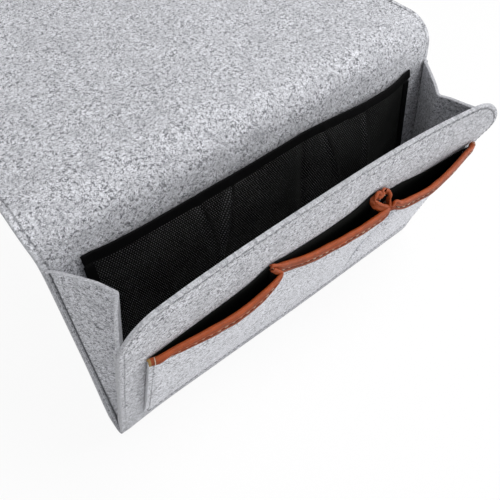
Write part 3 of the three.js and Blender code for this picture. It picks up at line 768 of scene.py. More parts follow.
def fold_profile(gap, front_leg, back_leg, swell=0.0, groove=0.0):
    """Section of a binding folded over an edge, as places out from the sheet and up from its edge.

    Two straight legs and half a circle over the edge. The front leg may swell out in two rolls, half sine waves with
    a groove between them at groove's depth, the lower one also flaring evenly. The third column is the length from
    the top of the fold.
    """
    front = np.linspace(front_leg, 0, LEG_STEPS + 1)[:-1]
    turn = np.linspace(0, np.pi, TURN_STEPS)
    back = np.linspace(0, back_leg, BACK_STEPS + 1)[1:]
    rolls = np.zeros_like(front)
    if groove:
        upper = np.sin(np.pi * np.clip(front / groove, 0, 1))
        past = np.clip((front - groove) / (front_leg - groove), 0, 1)
        rolls = swell * (upper + np.sin(np.pi * past) + past) - 0.42 * bell(front, groove, 0.5)
    out = np.concatenate([gap + rolls, gap * np.cos(turn), np.full(BACK_STEPS, -gap)])
    up = np.concatenate([-front, gap * np.sin(turn), -back])
    run = run_along(grid(out, up))
    return out, up, run[LEG_STEPS + TURN_STEPS // 2] - run


def binding(edge, below, profile, facing, tight=1.0, short=1.0):
    """Mid-surface of a binding along an edge: the profile set square to the edge at each of its points.

    Up runs from the row below to the edge, and out is the cross product of the edge's run and up. tight scales the
    profile's width along the edge, and short the height of its legs. Returns the grid, its flat pattern and the way
    out.
    """
    out, up, run = profile
    along = unit(np.gradient(edge, axis=0))
    rise = unit(edge - below)
    rise = unit(rise - along * np.sum(rise * along, axis=-1, keepdims=True))
    away = np.cross(along, rise)
    away = away * np.sign(np.sum(away[len(away) // 2] * facing))
    width = np.multiply.outer(np.broadcast_to(tight, len(edge)), out)
    height = np.multiply.outer(np.broadcast_to(short, len(edge)), np.minimum(up, 0)) + np.maximum(up, 0)
    mid = edge[:, None] + away[:, None] * width[..., None] + rise[:, None] * height[..., None]
    return mid, grid(run_along(edge)[:, None], run), away


# ---------------------------------------------------------------------------------------------- finishes


def both_ways(operation):
    """An operator and its reflected twin, each of which adds one Math node."""

    def plain(self, other):
        return self.maths(operation, self, other)

    def reflected(self, other):
        return self.maths(operation, other, self)

    return plain, reflected


class Socket:
    """An output in a material's nodes. Sums and products with it add Math nodes."""

    def __init__(self, finish, output):
        self.finish = finish
        self.output = output

    __add__, __radd__ = both_ways("ADD")
    __sub__, __rsub__ = both_ways("SUBTRACT")
    __mul__, __rmul__ = both_ways("MULTIPLY")
    __truediv__, __rtruediv__ = both_ways("DIVIDE")

    def __abs__(self):
        return self.maths("ABSOLUTE", self)

    def sine(self):
        return self.maths("SINE", self)

    def cosine(self):
        return self.maths("COSINE", self)

    def maths(self, operation, *values):
        return self.finish.node("ShaderNodeMath", {"operation": operation}, dict(enumerate(values)))

    def step(self, low, high):
        """0 below low and 1 above high, smooth between them."""
        return self.finish.node(
            "ShaderNodeMapRange", {"interpolation_type": "SMOOTHSTEP"}, {0: self, 1: low, 2: high}
        )

    def band(self, at, inner, outer):
        """1 within inner of a value and 0 further than outer from it, smooth between them."""
        return 1.0 - abs(self - at).step(inner, outer)


class Finish:
    """A material whose nodes are made one by one, ending in a Principled shader."""

    def __init__(self, name, **constants):
        self.material = bpy.data.materials.new(name)
        self.material.use_nodes = True
        self.tree = self.material.node_tree
        self.shader = self.tree.nodes["Principled BSDF"]
        self.set(**constants)

    def put(self, target, value):
        if isinstance(value, Socket):
            self.tree.links.new(value.output, target)
        elif target.type == "RGBA" and len(value) == 3:
            target.default_value = (*value, 1.0)
        else:
            target.default_value = value

    def set(self, **values):
        """Links or sets inputs of the shader."""
        for key, value in values.items():
            self.put(self.shader.inputs[key.replace("_", " ").title().replace("Ior", "IOR")], value)

    def node(self, kind, settings=None, values=None, output=0):
        """A node of a kind: its settings or a ramp's stops first, then the values or links of its sockets."""
        node = self.tree.nodes.new(kind)
        for key, value in (settings or {}).items():
            if key == "stops":
                while len(node.color_ramp.elements) < len(value):
                    node.color_ramp.elements.new(1.0)
                for element, (place, shade) in zip(node.color_ramp.elements, value):
                    element.position = place
                    element.color = (*shade, 1.0)
            else:
                setattr(node, key, value)
        for key, value in (values or {}).items():
            self.put(node.inputs[key], value)
        return Socket(self, node.outputs[output])

    def pattern(self):
        """The piece's flat pattern in millimetres, and its across and along parts."""
        cut = self.node("ShaderNodeUVMap", {"uv_map": "cut"})
        flat = self.node("ShaderNodeVectorMath", {"operation": "SCALE"}, {0: cut, "Scale": 1000.0})
        across = self.node("ShaderNodeSeparateXYZ", None, {0: flat})
        return flat, across, Socket(self, across.output.node.outputs[1])

    def turned(self, vector, turn=0.0, stretch=(1.0, 1.0, 1.0), shift=(0.0, 0.0, 0.0)):
        values = {"Vector": vector, "Rotation": (0.0, 0.0, turn), "Scale": stretch, "Location": shift}
        return self.node("ShaderNodeMapping", None, values)

    def noise(self, vector, scale, detail=2.0, roughness=0.5, output=0):
        values = {"Vector": vector, "Scale": scale, "Detail": detail, "Roughness": roughness}
        return self.node("ShaderNodeTexNoise", None, values, output)

    def blend(self, factor, first, second):
        """Mix of two colours."""
        return self.node("ShaderNodeMix", {"data_type": "RGBA"}, {0: factor, 6: first, 7: second}, 2)

    def bump(self, height, depth, strength=1.0):
        """Normal of a height given from 0 to 1, of a depth in metres."""
        return self.node("ShaderNodeBump", None, {"Strength": strength, "Distance": depth, "Height": height})


def tint(shade, factor):
    """A colour made paler or darker."""
    return tuple(factor * part for part in shade)


def felt_finish(name, colours, seam=None, width=0.9, depth=0.42, above=None, pale=0.0):
    """Mottled grey felt: warped fibres in several directions, pale and dark, and curly dark hairs.

    A hair is drawn where a noise passes its middle value, and another noise breaks it into short lengths. A seam
    dents a groove at an inset and darkens it by depth with painted shade, which fades below a place along the flat
    pattern where above gives one. pale lifts the whole tone, as painted light where a piece catches more light.
    """
    finish = Finish(name, roughness=0.95, sheen_weight=0.08, sheen_roughness=0.6)
    flat, _, along = finish.pattern()
    drift = finish.noise(flat, 0.22, 2.0, 0.5, 1)
    bent = finish.node("ShaderNodeVectorMath", {"operation": "MULTIPLY_ADD"}, {0: drift, 1: (5.0, 5.0, 0.0), 2: flat})
    fibres = [
        finish.noise(finish.turned(bent, turn, (0.54, 1.85, 1.0), (shift, 7.0 * shift, 0.0)), 1.0, 2.0, 0.6)
        for turn, shift in ((0.35, 3.0), (1.3, 11.0), (2.45, 23.0))
    ]
    clump = finish.noise(flat, 0.5, 3.0, 0.6)
    speck = finish.noise(flat, 2.0, 2.0, 0.65)
    blotch = finish.noise(flat, 0.07, 2.0, 0.5)
    fibre = (fibres[0] + fibres[1] + fibres[2]) / 3.0
    tone = (fibre - 0.5) * 2.3 + (clump - 0.5) * 0.9 + (speck - 0.5) * 1.3 + (blotch - 0.5) * 0.8 + 0.585 + pale
    stops = [(0.1, colours.felt_dark), (0.5, colours.felt), (0.9, colours.felt_light)]
    shade = finish.node("ShaderNodeValToRGB", {"stops": stops}, {0: tone})
    for shift, scale in ((31.0, 0.19), (57.0, 0.24), (83.0, 0.22), (19.0, 0.28)):
        curl = finish.noise(finish.turned(bent, shift, shift=(shift, -shift, 0.0)), scale, 2.0, 0.6)
        broken = finish.noise(finish.turned(flat, shift, shift=(-shift, shift, 0.0)), 0.42, 2.0)
        hair = curl.band(0.5, 0.006, 0.028) * (broken + blotch * 0.35).step(0.635, 0.745)
        shade = finish.blend(hair * 0.8, shade, tint(colours.felt_dark, 0.55))
    inset = finish.node("ShaderNodeAttribute", {"attribute_name": "inset"}, None, 2)
    place = finish.node("ShaderNodeTexCoord", None, None, 3)
    grit = finish.noise(place, 1100.0, 2.0, 0.6)
    raw = finish.blend(grit.step(0.25, 0.75), tint(colours.felt, 0.5), tint(colours.felt, 1.05))
    shade = finish.blend((1.0 - inset.step(-0.5, 0.5)) * 0.9, shade, raw)
    height = fibre * 0.6 + speck * 0.4
    # Painted shade in the seam's groove, beside its dent in the bump
    if seam is not None:
        groove = inset.band(seam, 0.15, width)
        if above:
            groove = groove * (along.step(above - 30, above) * 0.8 + 0.2)
        shade = finish.blend(groove * depth, shade, tint(colours.felt_dark, 0.4))
        height = height - groove * 1.3
    finish.set(base_color=shade, normal=finish.bump(height, 0.0007, 0.32))
    return finish.material


def mesh_finish(colours, pitch):
    """Black warp-knit mesh: holes where three cosine waves at sixty degrees to each other peak together.

    Each soft fold is drawn as a painted highlight, a pale band, with a painted shadow, a dark line, beside it. Broad
    paler patches are painted light, for the lit felt that shows through the holes unevenly.
    """
    finish = Finish("black_mesh", roughness=0.7, specular_ior_level=0.14)
    flat, x, v = finish.pattern()
    per = 2 * math.pi / pitch
    waves = [
        (x * (per * math.cos(turn)) + v * (per * math.sin(turn))).cosine()
        for turn in (math.pi / 6, math.pi / 2, 5 * math.pi / 6)
    ]
    lattice = waves[0] + waves[1] + waves[2]
    yarn = finish.noise(flat, 2.2, 2.0)
    slack = finish.noise(flat, 0.035, 2.0)
    dark, pale = tint(colours.mesh, 0.1), tint(colours.mesh, 2.4)
    # Paler patches of painted light for the felt showing through, over the yarn's random tone
    shade = finish.blend(yarn * 0.4 + slack.step(0.35, 0.65) * 0.35, dark, pale)
    up = (v - MESH_FOOT) / MESH_RISE
    for top, lean, begin, full in MESH_FOLDS:
        beside = x + up * lean - (top + lean)
        rise = up.step(begin - 0.15, 0.9) * full
        # A painted highlight along each fold's crest, then a painted shadow beside it
        shade = finish.blend(beside.band(-2.5, 0.5, 6.0) * rise * 0.7, shade, pale)
        shade = finish.blend(beside.band(1.5, 0.5, 2.2) * rise * 0.95, shade, dark)
    hole = lattice.step(0.5, 0.95)
    finish.set(base_color=shade, alpha=1.0 - hole, normal=finish.bump(1.0 - lattice / 3.0, 0.0003, 0.5))
    finish.material.surface_render_method = "DITHERED"
    return finish.material


def woven_finish(name, base, rib, roughness=0.7):
    """Black woven cloth: fine ribs across its length, paler in colour where they stand highest."""
    finish = Finish(name, roughness=roughness, specular_ior_level=0.08)
    flat, x, v = finish.pattern()
    ribs = (x * (2 * math.pi / rib)).sine()
    yarn = (v * (2 * math.pi / (0.6 * rib))).sine()
    weave = ribs * yarn * 0.25 + ribs * 0.25 + 0.5
    shade = finish.blend(weave * finish.noise(flat, 0.15, 3.0), tint(base, 0.7), tint(base, 1.7))
    finish.set(base_color=shade, normal=finish.bump(weave, 0.00025, 0.6))
    return finish.material


def leather_finish(colours, groove_at):
    """Brown leather-look binding: pebbled grain and tonal patches, with a painted highlight on the fold's top, and
    painted shade in the crease below the top roll, in the stitch groove and on the lower lip.
    """
    finish = Finish("brown_leather", coat_roughness=0.35, specular_ior_level=0.28)
    flat, _, v = finish.pattern()
    grain = finish.node("ShaderNodeTexVoronoi", {"feature": "DISTANCE_TO_EDGE"}, {"Vector": flat, "Scale": 2.4})
    pores = grain.step(0.0, 0.2)
    patch = finish.noise(flat, 0.14, 4.0, 0.6)
    fine = finish.noise(flat, 0.9, 3.0, 0.6)
    crease = finish.noise(finish.turned(flat, 0.0, (0.9, 0.16, 1.0)), 1.0, 2.0, 0.6)
    # fold marks the fold's top for painted highlight and coat; groove and roll mark lines of painted shade
    fold = 1.0 - abs(v).step(0.4, 3.2)
    groove = v.band(groove_at, 0.45, 1.2)
    roll = v.band(2.3, 0.2, 0.7)
    dark, base = colours.leather_dark, colours.leather
    shade = finish.blend(patch.step(0.25, 0.75), tint(base, 0.72), tint(base, 1.22))
    for share, over in (
        (crease.step(0.56, 0.78) * 0.5, dark),
        ((1.0 - pores) * 0.14, dark),
        # Painted highlight on the top of the fold
        (fold * 0.35 * fine.step(0.3, 0.7), tint(base, 1.35)),
        # Painted shade in the crease below the top roll
        (roll * 0.5, tint(base, 0.35)),
        # Painted shade in the stitch groove
        (groove * 0.9, dark),
        # Painted shade on the lip below the groove
        (v.step(groove_at + 0.3, groove_at + 1.2) * 0.6, tint(base, 0.4)),
    ):
        shade = finish.blend(share, shade, over)
    height = pores * 0.2 + fine * 0.3 - crease * 0.6 - groove * 0.8 - roll * 0.5
    finish.set(
        base_color=shade,
        roughness=0.38 + fine * 0.22 + groove * 0.2,
        coat_weight=fold * 0.12,
        normal=finish.bump(height, 0.0005, 0.6),
    )
    return finish.material


def edge_finish(colours):
    """Raw cut end of the leather: fibrous, yellowish."""
    finish = Finish("leather_cut_end", roughness=0.9)
    fibre = finish.noise(finish.pattern()[0], 1.8, 3.0)
    shade = finish.blend(fibre, tint(colours.leather_edge, 0.5), colours.leather_edge)
    finish.set(base_color=shade, normal=finish.bump(fibre, 0.0004, 0.6))
    return finish.material


def thread_finish(name, base):
    """Twisted sewing thread: slanting strands, darker between them."""
    finish = Finish(name, roughness=0.6, sheen_weight=0.1)
    flat, x, v = finish.pattern()
    strand = (x * 6.0 + v * 2.6).sine() * 0.5 + 0.5
    shade = finish.blend(strand * 0.6 + finish.noise(flat, 2.5, 2.0) * 0.4, tint(base, 0.55), base)
    finish.set(base_color=shade, normal=finish.bump(strand, 0.0002, 0.6))
    return finish.material


# ---------------------------------------------------------------------------------------------- operators


class CADDY_OT_felt_panels(bpy.types.Operator):
    """Flap with back, and bottom fold with front, of one length of felt"""

    bl_idname = "caddy.felt_panels"
    bl_label = "Felt panels"

    def execute(self, context):
        sizes, colours = millimetres(context), context.scene.caddy_colours
        half, width = 0.5 * sizes.felt, 2 * sizes.half_width / 1000
        mid, cut = flap_and_back(sizes)
        split = cut[-1, 0, 1]
        shell = closed_sheet(mid, half, cut, square=("end",))
        # A line of painted shade lies in the seam's groove, at the seam's inset
        finish = felt_finish("felt_sewn", colours, sizes.seam_inset)
        upper = add_piece("felt_flap_and_back", shell, [finish], "felt", ["flap_panel", "back_panel"])
        to_row(bend_end(sizes))
        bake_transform(upper)
        split / 1000

        mid, cut, hinge = fold_and_front(sizes, split)
        inset = edge_distance(cut.reshape(-1, 2), [cut[:, 0], cut[-1], cut[:, -1]]).reshape(cut.shape[:2])
        shell = closed_sheet(mid, half * (0.75 + 0.25 * smoothstep(1, 6, inset)), cut, square=("start",))
        # A line of painted shade lies in the seam's groove, fading out low on the front
        finish = felt_finish("felt_front", colours, sizes.front_inset, above=hinge + 150)
        lower = add_piece("felt_fold_and_front", shell, [finish], "felt", ["front_panel"])
        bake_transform(lower)
        flat = (width, (hinge + sizes.front_height - split) / 1000)
        return {"FINISHED"}


class CADDY_OT_gussets(bpy.types.Operator):
    """Four gusset halves with their sewn margins"""

    bl_idname = "caddy.gussets"
    bl_label = "Gussets"

    def execute(self, context):
        sizes, colours = millimetres(context), context.scene.caddy_colours
        # A broad, deep line of painted shade runs along the seam, in the valley where each half turns off its panel
        finish = felt_finish("felt_gusset", colours, GUSSET_LINE, 1.8, 0.95)
        for side_name, side in SIDES:
            start, end = (to_row((side * (SEAM_X + out), 0.0, GUSSET_BLEND_LEVEL)) for out in GUSSET_BLEND)
            for panel, body, facing in (("rear", "back", -1), ("front", "front", 1)):
                mid, half = gusset_half(sizes, side, facing)
                cut = cut_lengths(mid) + np.multiply(GUSSET_APART, (side, facing))
                *shell, inset = closed_sheet(mid, half, cut, GUSSET_RIM, square=("right",), measured=("left",))
                # Insets inside the sheet are measured from the seam, so that the painted shade runs along it
                from_seam = edge_distance(shell[2], [0.5 * (cut[:, 7] + cut[:, 8])])
                shell.append(np.where(inset < 0, inset, GUSSET_LINE + from_seam))
                nodes = [f"{side_name}_gusset_{panel}_{part}" for part in ("flange", "half")]
                piece = add_piece(f"felt_{side_name}_{panel}_gusset", shell, [finish], "felt", nodes)
                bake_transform(piece)
                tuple(start)
                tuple(end)
        return {"FINISHED"}


class CADDY_OT_mesh_organiser(bpy.types.Operator):
    """Black mesh on the back's inner face, with its ribbon binding"""

    bl_idname = "caddy.mesh_organiser"
    bl_label = "Mesh organiser"

    def execute(self, context):
        sizes, colours = millimetres(context), context.scene.caddy_colours
        x = np.linspace(-MESH_SIDE, MESH_SIDE, 221)[None, :]
        up = np.concatenate([np.linspace(0, 0.985, 70), [1.0]])[:, None]
        mid = mesh_place(sizes, x, up)
        shell = closed_sheet(mid, MESH_HALF, mid[..., [0, 2]], MESH_RIM)
        finish = mesh_finish(colours, sizes.mesh_pitch)
        piece = add_piece("mesh_sheet", shell, [finish], "mesh", ["mesh_panel"], "back")

        finish = woven_finish("black_ribbon", colours.ribbon, 0.9)
        leg = sizes.ribbon_leg
        edges = {"top": (mid[-1], mid[-4], fold_profile(TOP_RIBBON_GAP, leg, leg), RIBBON_HALF)}
        for name, side in SIDES:
            up = np.linspace(0.0, SIDE_RIBBON_END, 40)[:, None]
            edge = mesh_place(sizes, np.full((1, 1), side * MESH_SIDE), up)[:, 0]
            profile = fold_profile(SIDE_RIBBON_GAP, *[leg - SIDE_RIBBON_SHORTER] * 2)
            edges[name] = (edge, edge - [side * SIDE_RIBBON_INWARDS, 0.0, 0.0], profile, SIDE_RIBBON_HALF)
        for name, (edge, below, profile, half) in edges.items():
            mid, cut, _ = binding(edge, below, profile, BACK_OUT)
            shell = closed_sheet(mid, half, cut, RIBBON_RIM)
            ribbon = add_piece(f"ribbon_{name}", shell, [finish], "ribbon", [f"mesh_{name}_binding"], "back")
            flat = (np.ptp(cut[..., 0]) / 1000, np.ptp(cut[..., 1]) / 1000)
            flat if name == "top" else flat[::-1]
        return {"FINISHED"}


class CADDY_OT_pockets(bpy.types.Operator):
    """Three felt pocket walls and the black lining behind them"""

    bl_idname = "caddy.pockets"
    bl_label = "Front pockets"

    def black_faces(self, name, rows, columns, pressed):
        """Which faces of a wall are black: its inner side, the outer side of its pleats near the mouth, further down
        beside the bunch, and the rim of the ends that lie in a bunch."""
        bunch = columns - 5 if name == "left" else 0
        low = np.where(np.abs(np.arange(columns) - bunch) < 12, 12, 26)
        outer = np.pad(pressed > 0.6, (2, 1), mode="edge") & (np.arange(rows)[:, None] > low)
        rim = np.repeat([0, name != "right", 0, name != "left"], [columns, rows, columns, rows])
        return np.concatenate([np.ones(rows * columns), outer.ravel(), rim, rim])

    def execute(self, context):
        sizes, colours = millimetres(context), context.scene.caddy_colours
        # The pocket walls' felt is paler: painted light for the light they catch from below and in front
        finish = felt_finish("felt_pocket", colours, pale=0.21)
        black = woven_finish("black_lining", colours.lining, 0.7, 0.85)
        for order, name in enumerate(MOUTHS):
            mid = pocket_wall(name)
            cut = cut_lengths(mid) + [POCKETS_APART * order, POCKETS_ALONG]
            level = np.linspace(0, 1, len(mid))[:, None]
            amount = 1.2 * level * np.clip(0.8 - level, 0, None)
            mid = uneven(mid, cut, amount, SEEDS["pocket"] + order, 40, 90)
            row, pressed = np.arange(len(mid))[:, None], pleats(name, mid.shape[1])
            half = 0.5 * sizes.pocket_felt * (0.6 + 0.4 * smoothstep(0, 4, row) - 0.3 * smoothstep(26, 30, row))
            half = half * (1 - 0.6 * pressed * smoothstep(10, 26, row))
            shell = closed_sheet(mid, half, cut, POCKET_RIM)
            chosen = self.black_faces(name, *np.add(mid.shape[:2], RIM_FACES), pressed)
            wall = add_piece(
                f"felt_{name}_pocket", shell, [finish, black], "felt", [f"{name}_pocket"], "front", chosen
            )
            flat = (np.ptp(cut[-1, :, 0]) / 1000, POCKET_FLAT_HEIGHT)

        x = np.linspace(*LINING_SIDES, 120)[None, :]
        edge = smooth_curve(LINING_EDGE, 240)
        foot, top = POCKET_FOOT + LINING_FOOT_RISE, np.interp(x, edge[:, 0], edge[:, 1])
        s = foot + (top - foot) * np.linspace(0, 1, 50)[:, None]
        shell = closed_sheet(front_place(x, -LINING_SEAT, s), LINING_HALF, grid(x, s), RIBBON_RIM)
        lining = add_piece("lining_sheet", shell, [black], "lining", ["pocket_lining"], "front")
        return {"FINISHED"}


class CADDY_OT_trims(bpy.types.Operator):
    """Folded leather bindings on the pocket mouths, with their cream stitching"""

    bl_idname = "caddy.trims"
    bl_label = "Leather trims"

    def raw_faces(self, faces, rows, columns):
        """Which faces of a trim are raw leather: the first rows of both sides, and the rim there."""
        chosen = np.zeros(len(faces))
        for start, count in ((0, 3), (rows * columns, 3), (2 * rows * columns, 1)):
            chosen[start:start + count * columns] = 1
        return chosen

    def execute(self, context):
        sizes, colours = millimetres(context), context.scene.caddy_colours
        raw = edge_finish(colours)
        cream = thread_finish("cream_thread", colours.thread_cream)
        leg = sizes.trim_leg
        groove = TRIM_GROOVE * leg
        profile = fold_profile(0.35 * sizes.pocket_felt + 0.5, leg, TRIM_BACK * leg, TRIM_SWELL, groove)
        down, run = -profile[1][:LEG_STEPS], profile[2]
        leather = leather_finish(colours, float(np.interp(groove, down[::-1], run[:LEG_STEPS][::-1])))
        for order, name in enumerate(MOUTHS):
            wall = pocket_wall(name)
            count = wall.shape[1]
            pressed = pleats(name, count)
            share = np.linspace(0, 1, count)
            short = {
                "left": 0.25 + 0.75 * smoothstep(0, 0.24, share) - 0.7 * smoothstep(0.4, 0.69, share),
                "middle": 0.12 + 0.88 * smoothstep(0, 0.1, share),
                "right": 1 - 0.5 * smoothstep(0.8, 1, share),
            }[name]
            tight = 1 - 0.6 * pressed
            if name == "left":
                tight = np.minimum(tight, 1 - 0.45 * smoothstep(0.45, 0.69, share))
            mid, cut, away = binding(wall[-1], wall[-5], profile, FRONT_OUT, tight, short)
            cut = cut + [TRIMS_APART * order, 0.0]
            pucker = 0.2 * wave(cut[..., 0], 3 * cut[..., 1], 7, 19, SEEDS["pucker"] + order)
            loose = pressed * (0.25 + 0.75 * smoothstep(-20, 20, wall[-1, :, 0]))
            crumple = loose[:, None] * wave(cut[..., 0], cut[..., 1], 3.5, 8, SEEDS["crumple"] + order)
            mid = mid + normals(mid) * ((pucker + crumple) * np.clip(np.abs(run) / 4, 0.25, 1))[..., None]
            shell = closed_sheet(mid, TRIM_HALF, cut, POCKET_RIM)
            chosen = self.raw_faces(shell[1], *np.add(mid.shape[:2], RIM_FACES)) if name == "left" else None
            trim = add_piece(
                f"leather_{name}_trim", shell, [leather, raw], "trim", [f"{name}_pocket_trim"], "front", chosen
            )
            flat = (np.ptp(cut[:, 0, 0]) / 1000, np.ptp(run) / 1000)

            seam = mid[:, np.argmin(np.abs(down - groove))] + away * 0.5
            shell = threads(stitch_paths(seam, away, sizes.stitch, sizes.stitch_gap + 0.6), TRIM_THREAD_RADIUS)
            tack = {"left": 3, "right": count - 4}.get(name)
            if tack:
                outwards = normals(mid)[tack, 4:20]
                outwards = outwards * np.sign(np.sum(outwards[4] * away[tack]))
                along = unit(wall[-1, tack + 1] - wall[-1, tack - 1])
                path = mid[tack, 4:20] + outwards * 0.62 - along * 0.2
                shell = joined(shell, threads(path[None], TACK_RADIUS))
            add_piece(f"stitches_{name}_trim", shell, [cream], "thread_cream", [f"{name}_trim_thread"], "front")
        return {"FINISHED"}


class CADDY_OT_seams(bpy.types.Operator):
    """Stitches of the felt seams, the pockets and the mesh"""

    bl_idname = "caddy.seams"
    bl_label = "Seams"

    def flap_and_rear(self, sizes):
        """Lines along the flap's sides and along the gussets' margins on the back."""
        half = 0.5 * sizes.felt
        mid, cut = flap_and_back(sizes)
        face = mid + normals(mid) * half * np.sign(normals(mid)[20, 25, 2])
        end = int(np.argmin(np.abs(cut[:, 0, 1] - sizes.flap_length)))
        up = np.array([0.0, -math.sin(sizes.flap_rise), math.cos(sizes.flap_rise)])
        for name, side in SIDES:
            at = side * (sizes.half_width - sizes.seam_inset)
            path = face[9:end + 1, np.argmin(np.abs(mid[end, :, 0] - at))].copy()
            path[:, 0] = at + flap_shift(sizes, cut[9:end + 1, 0, 1])
            yield f"flap_{name}", f"flap_{name}_thread", path, up, "flap"

            height = np.linspace(12, sizes.gusset_height - 2, 60)
            level = height / sizes.gusset_height
            across = SEAM_X + seam_out(sizes, side, -1, level) + 0.6 * margin_width(-1, level)
            path = grid(side * across, half - 2 * gusset_felt(sizes, height), height)
            yield f"rear_{name}", f"{name}_rear_seam_thread", path, BACK_OUT, "back"

    def front(self, sizes):
        """Lines along the front's outline, from the foot to the shoulders and over the top."""
        height, corner = sizes.front_height, sizes.front_corner
        turn = np.linspace(0, np.pi / 2, 24)
        s = np.concatenate([np.linspace(6, height - corner, 60), height - corner * (1 - np.sin(turn))])
        shoulder = int(np.searchsorted(s, height - corner))
        tops = []
        for name, side in SIDES:
            outline = grid(front_half(sizes, s, side), s)
            outline = np.concatenate([outline, grid(np.linspace(outline[-1, 0], 0, 40)[1:], height)])
            way = unit(np.gradient(outline, axis=0))
            line = (outline + sizes.front_inset * grid(-way[:, 1], way[:, 0])) * [side, 1]
            tops.append(line[shoulder:])
            path = front_place(line[:shoulder, 0], -PANEL_FACE + SIDE_STITCH_DEPTH, line[:shoulder, 1])
            yield f"front_{name}", f"{name}_front_seam_thread", path, FRONT_OUT, "front"
        line = np.concatenate([tops[0], tops[1][:-1][::-1]])
        path = front_place(line[:, 0], -PANEL_FACE + TOP_STITCH_DEPTH, line[:, 1])
        yield "front_top", "front_top_thread", path, FRONT_OUT, "front"

    def pockets(self, sizes):
        """Lines between the pockets, at their ends and along their feet."""
        for name, at in DIVISIONS.items():
            path = front_place(at, -LINING_SEAT - DIVISION_STITCH_RISE, np.linspace(POCKET_FOOT + 2, 136, 60))
            yield f"{name}_division", f"{name}_division_thread", path, FRONT_OUT, "front"
        for name, column in (("left", 2), ("right", -3)):
            path = pocket_wall(name)[1:-3, column] + FRONT_OUT * (0.5 * sizes.pocket_felt)
            yield f"pocket_{name}", f"pocket_{name}_end_thread", path, FRONT_OUT, "front"
        off = -POCKET_SEAT + POCKET_PRESS - 0.33 * sizes.pocket_felt
        path = front_place(np.linspace(-140, 146, 140), off, POCKET_FOOT + 1.8)
        yield "pocket_foot", "pocket_bottom_thread", path, FRONT_OUT, "front"

    def mesh(self, sizes):
        """Lines down the mesh's divider and along its foot."""
        up = np.linspace(0.02, 0.93, 60)[:, None]
        path = mesh_place(sizes, np.full((1, 1), MESH_DIVIDER), up)[:, 0] + BACK_OUT * MESH_STITCH_RISE
        yield "mesh_divider", "mesh_divider_thread", path, BACK_OUT, "back"
        x = np.linspace(8 - MESH_SIDE, MESH_SIDE - 8, 140)[None, :]
        path = mesh_place(sizes, x, np.full((1, 1), 0.012))[0] + BACK_OUT * MESH_STITCH_RISE
        yield "mesh_foot", "mesh_bottom_thread", path, BACK_OUT, "back"

    def execute(self, context):
        sizes, colours = millimetres(context), context.scene.caddy_colours
        grey = thread_finish("grey_thread", colours.thread_grey)
        black = thread_finish("black_thread", colours.thread_black)
        for lines, slot, finish in (
            (self.flap_and_rear, "thread_grey", grey),
            (self.front, "thread_grey", grey),
            (self.pockets, "thread_grey", grey),
            (self.mesh, "thread_black", black),
        ):
            for name, node, path, out, body in lines(sizes):
                shell = threads(stitch_paths(path, out, sizes.stitch, sizes.stitch_gap), THREAD_RADIUS)
                add_piece(f"stitches_{name}", shell, [finish], slot, [node], body)
        return {"FINISHED"}


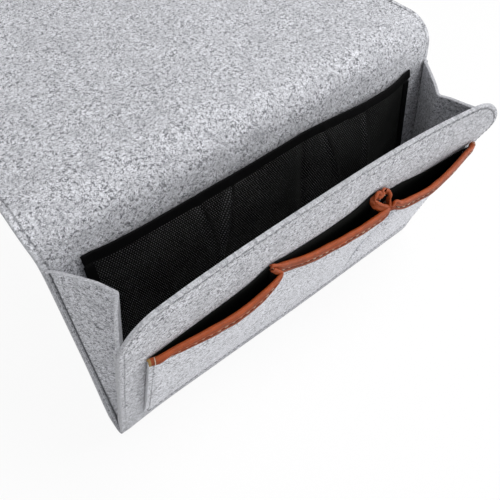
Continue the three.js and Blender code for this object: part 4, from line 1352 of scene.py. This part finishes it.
class CADDY_OT_stage(bpy.types.Operator):
    """Floor, soft lights and camera"""

    bl_idname = "caddy.stage"
    bl_label = "Stage"

    def set_up(self, name, data, place, right, up, back):
        """Adds a light or camera at a place, with its axes along three directions."""
        turn = np.eye(4)
        turn[:3] = np.stack([right, up, back, place], axis=-1)
        thing = bpy.data.objects.new(name, data)
        thing.matrix_world = Matrix(turn.tolist())
        bpy.context.scene.collection.objects.link(thing)
        return thing

    def light(self, name, target, away, size, power):
        """A soft round light that looks at a place from a way off."""
        data = bpy.data.lights.new(name, "AREA")
        data.shape = "DISK"
        data.size = size
        data.energy = power
        back = unit(away)
        right = unit(np.cross([0.0, 0.0, 1.0], back))
        self.set_up(name, data, target + away, right, np.cross(back, right), back)

    def floor(self, level, reach=6.0):
        """A wide white floor, which also glows where the camera or a reflection sees it."""
        mesh = bpy.data.meshes.new("floor")
        corners = [(x * reach, y * reach, level) for x, y in ((-1, -1), (1, -1), (1, 1), (-1, 1))]
        mesh.from_pydata(corners, [], [(0, 1, 2, 3)])
        floor = bpy.data.objects.new("floor", mesh)
        bpy.context.scene.collection.objects.link(floor)
        finish = Finish("white_floor", base_color=(0.9, 0.9, 0.9), roughness=0.9)
        seen, glossy = (finish.node("ShaderNodeLightPath", None, None, ray) for ray in (0, 3))
        glow = finish.node("ShaderNodeEmission", None, {"Color": (1.0, 1.0, 1.0), "Strength": 1.0})
        plain = Socket(finish, finish.shader.outputs[0])
        mixed = finish.node("ShaderNodeMixShader", None, {0: (seen + glossy) * 0.92, 1: plain, 2: glow})
        finish.put(finish.tree.nodes["Material Output"].inputs[0], mixed)
        mesh.materials.append(finish.material)

    def execute(self, context):
        stage = context.scene.caddy_stage
        pivot = PIVOT / 1000
        self.floor(pivot[2] - (PANEL_FACE + FLOOR_GAP) / 1000)
        world = bpy.data.worlds.new("studio")
        world.use_nodes = True
        context.scene.world = world
        background = world.node_tree.nodes["Background"]
        background.inputs[0].default_value = (1.0, 1.0, 1.0, 1.0)
        background.inputs[1].default_value = stage.ambient
        middle = pivot + [0.0, 0.0, 0.1]
        for name, (power, size, away) in LIGHTS.items():
            self.light(name, middle, np.array(away), size, getattr(stage, power))

        forward = np.array([
            -math.sin(stage.azimuth) * math.cos(stage.elevation),
            math.cos(stage.azimuth) * math.cos(stage.elevation),
            -math.sin(stage.elevation),
        ])
        side = unit(np.cross(forward, [0.0, 0.0, 1.0]))
        up = math.cos(stage.roll) * np.cross(side, forward) + math.sin(stage.roll) * side
        data = bpy.data.cameras.new("camera")
        data.sensor_width = 36.0
        data.sensor_fit = "HORIZONTAL"
        data.lens = stage.lens
        data.clip_start = 0.01
        place = pivot + np.array(stage.camera_place)
        context.scene.camera = self.set_up("camera", data, place, np.cross(forward, up), up, -forward)
        context.scene.view_settings.view_transform = "Standard"
        return {"FINISHED"}


GROUPS = {"caddy_sizes": CaddySizes, "caddy_colours": CaddyColours, "caddy_stage": CaddyStage}
OPERATORS = (
    CADDY_OT_stage,
    CADDY_OT_felt_panels,
    CADDY_OT_gussets,
    CADDY_OT_mesh_organiser,
    CADDY_OT_pockets,
    CADDY_OT_trims,
    CADDY_OT_seams,
)


class CADDY_PT_sidebar(bpy.types.Panel):
    """Lists the caddy's settings and the steps that build it"""

    bl_idname = "CADDY_PT_sidebar"
    bl_label = "Felt Bedside Caddy"
    bl_space_type = "VIEW_3D"
    bl_region_type = "UI"
    bl_category = "Caddy"

    def draw(self, context):
        for operator in OPERATORS:
            self.layout.operator(operator.bl_idname)
        for key in GROUPS:
            group = getattr(context.scene, key)
            column = self.layout.box().column()
            for name in group.__annotations__:
                column.prop(group, name)


def register():
    for group in (*GROUPS.values(), *OPERATORS, CADDY_PT_sidebar):
        bpy.utils.register_class(group)
    for name, group in GROUPS.items():
        setattr(bpy.types.Scene, name, bpy.props.PointerProperty(type=group))


def unregister():
    for name in GROUPS:
        delattr(bpy.types.Scene, name)
    for group in (CADDY_PT_sidebar, *reversed(OPERATORS), *reversed(GROUPS.values())):
        bpy.utils.unregister_class(group)


def main():
    """Builds the caddy step by step."""
    register()
    bpy.ops.caddy.stage()
    bpy.ops.caddy.felt_panels()
    bpy.ops.caddy.gussets()
    bpy.ops.caddy.mesh_organiser()
    bpy.ops.caddy.pockets()
    bpy.ops.caddy.trims()
    bpy.ops.caddy.seams()


if __name__ == "__main__":
    main()
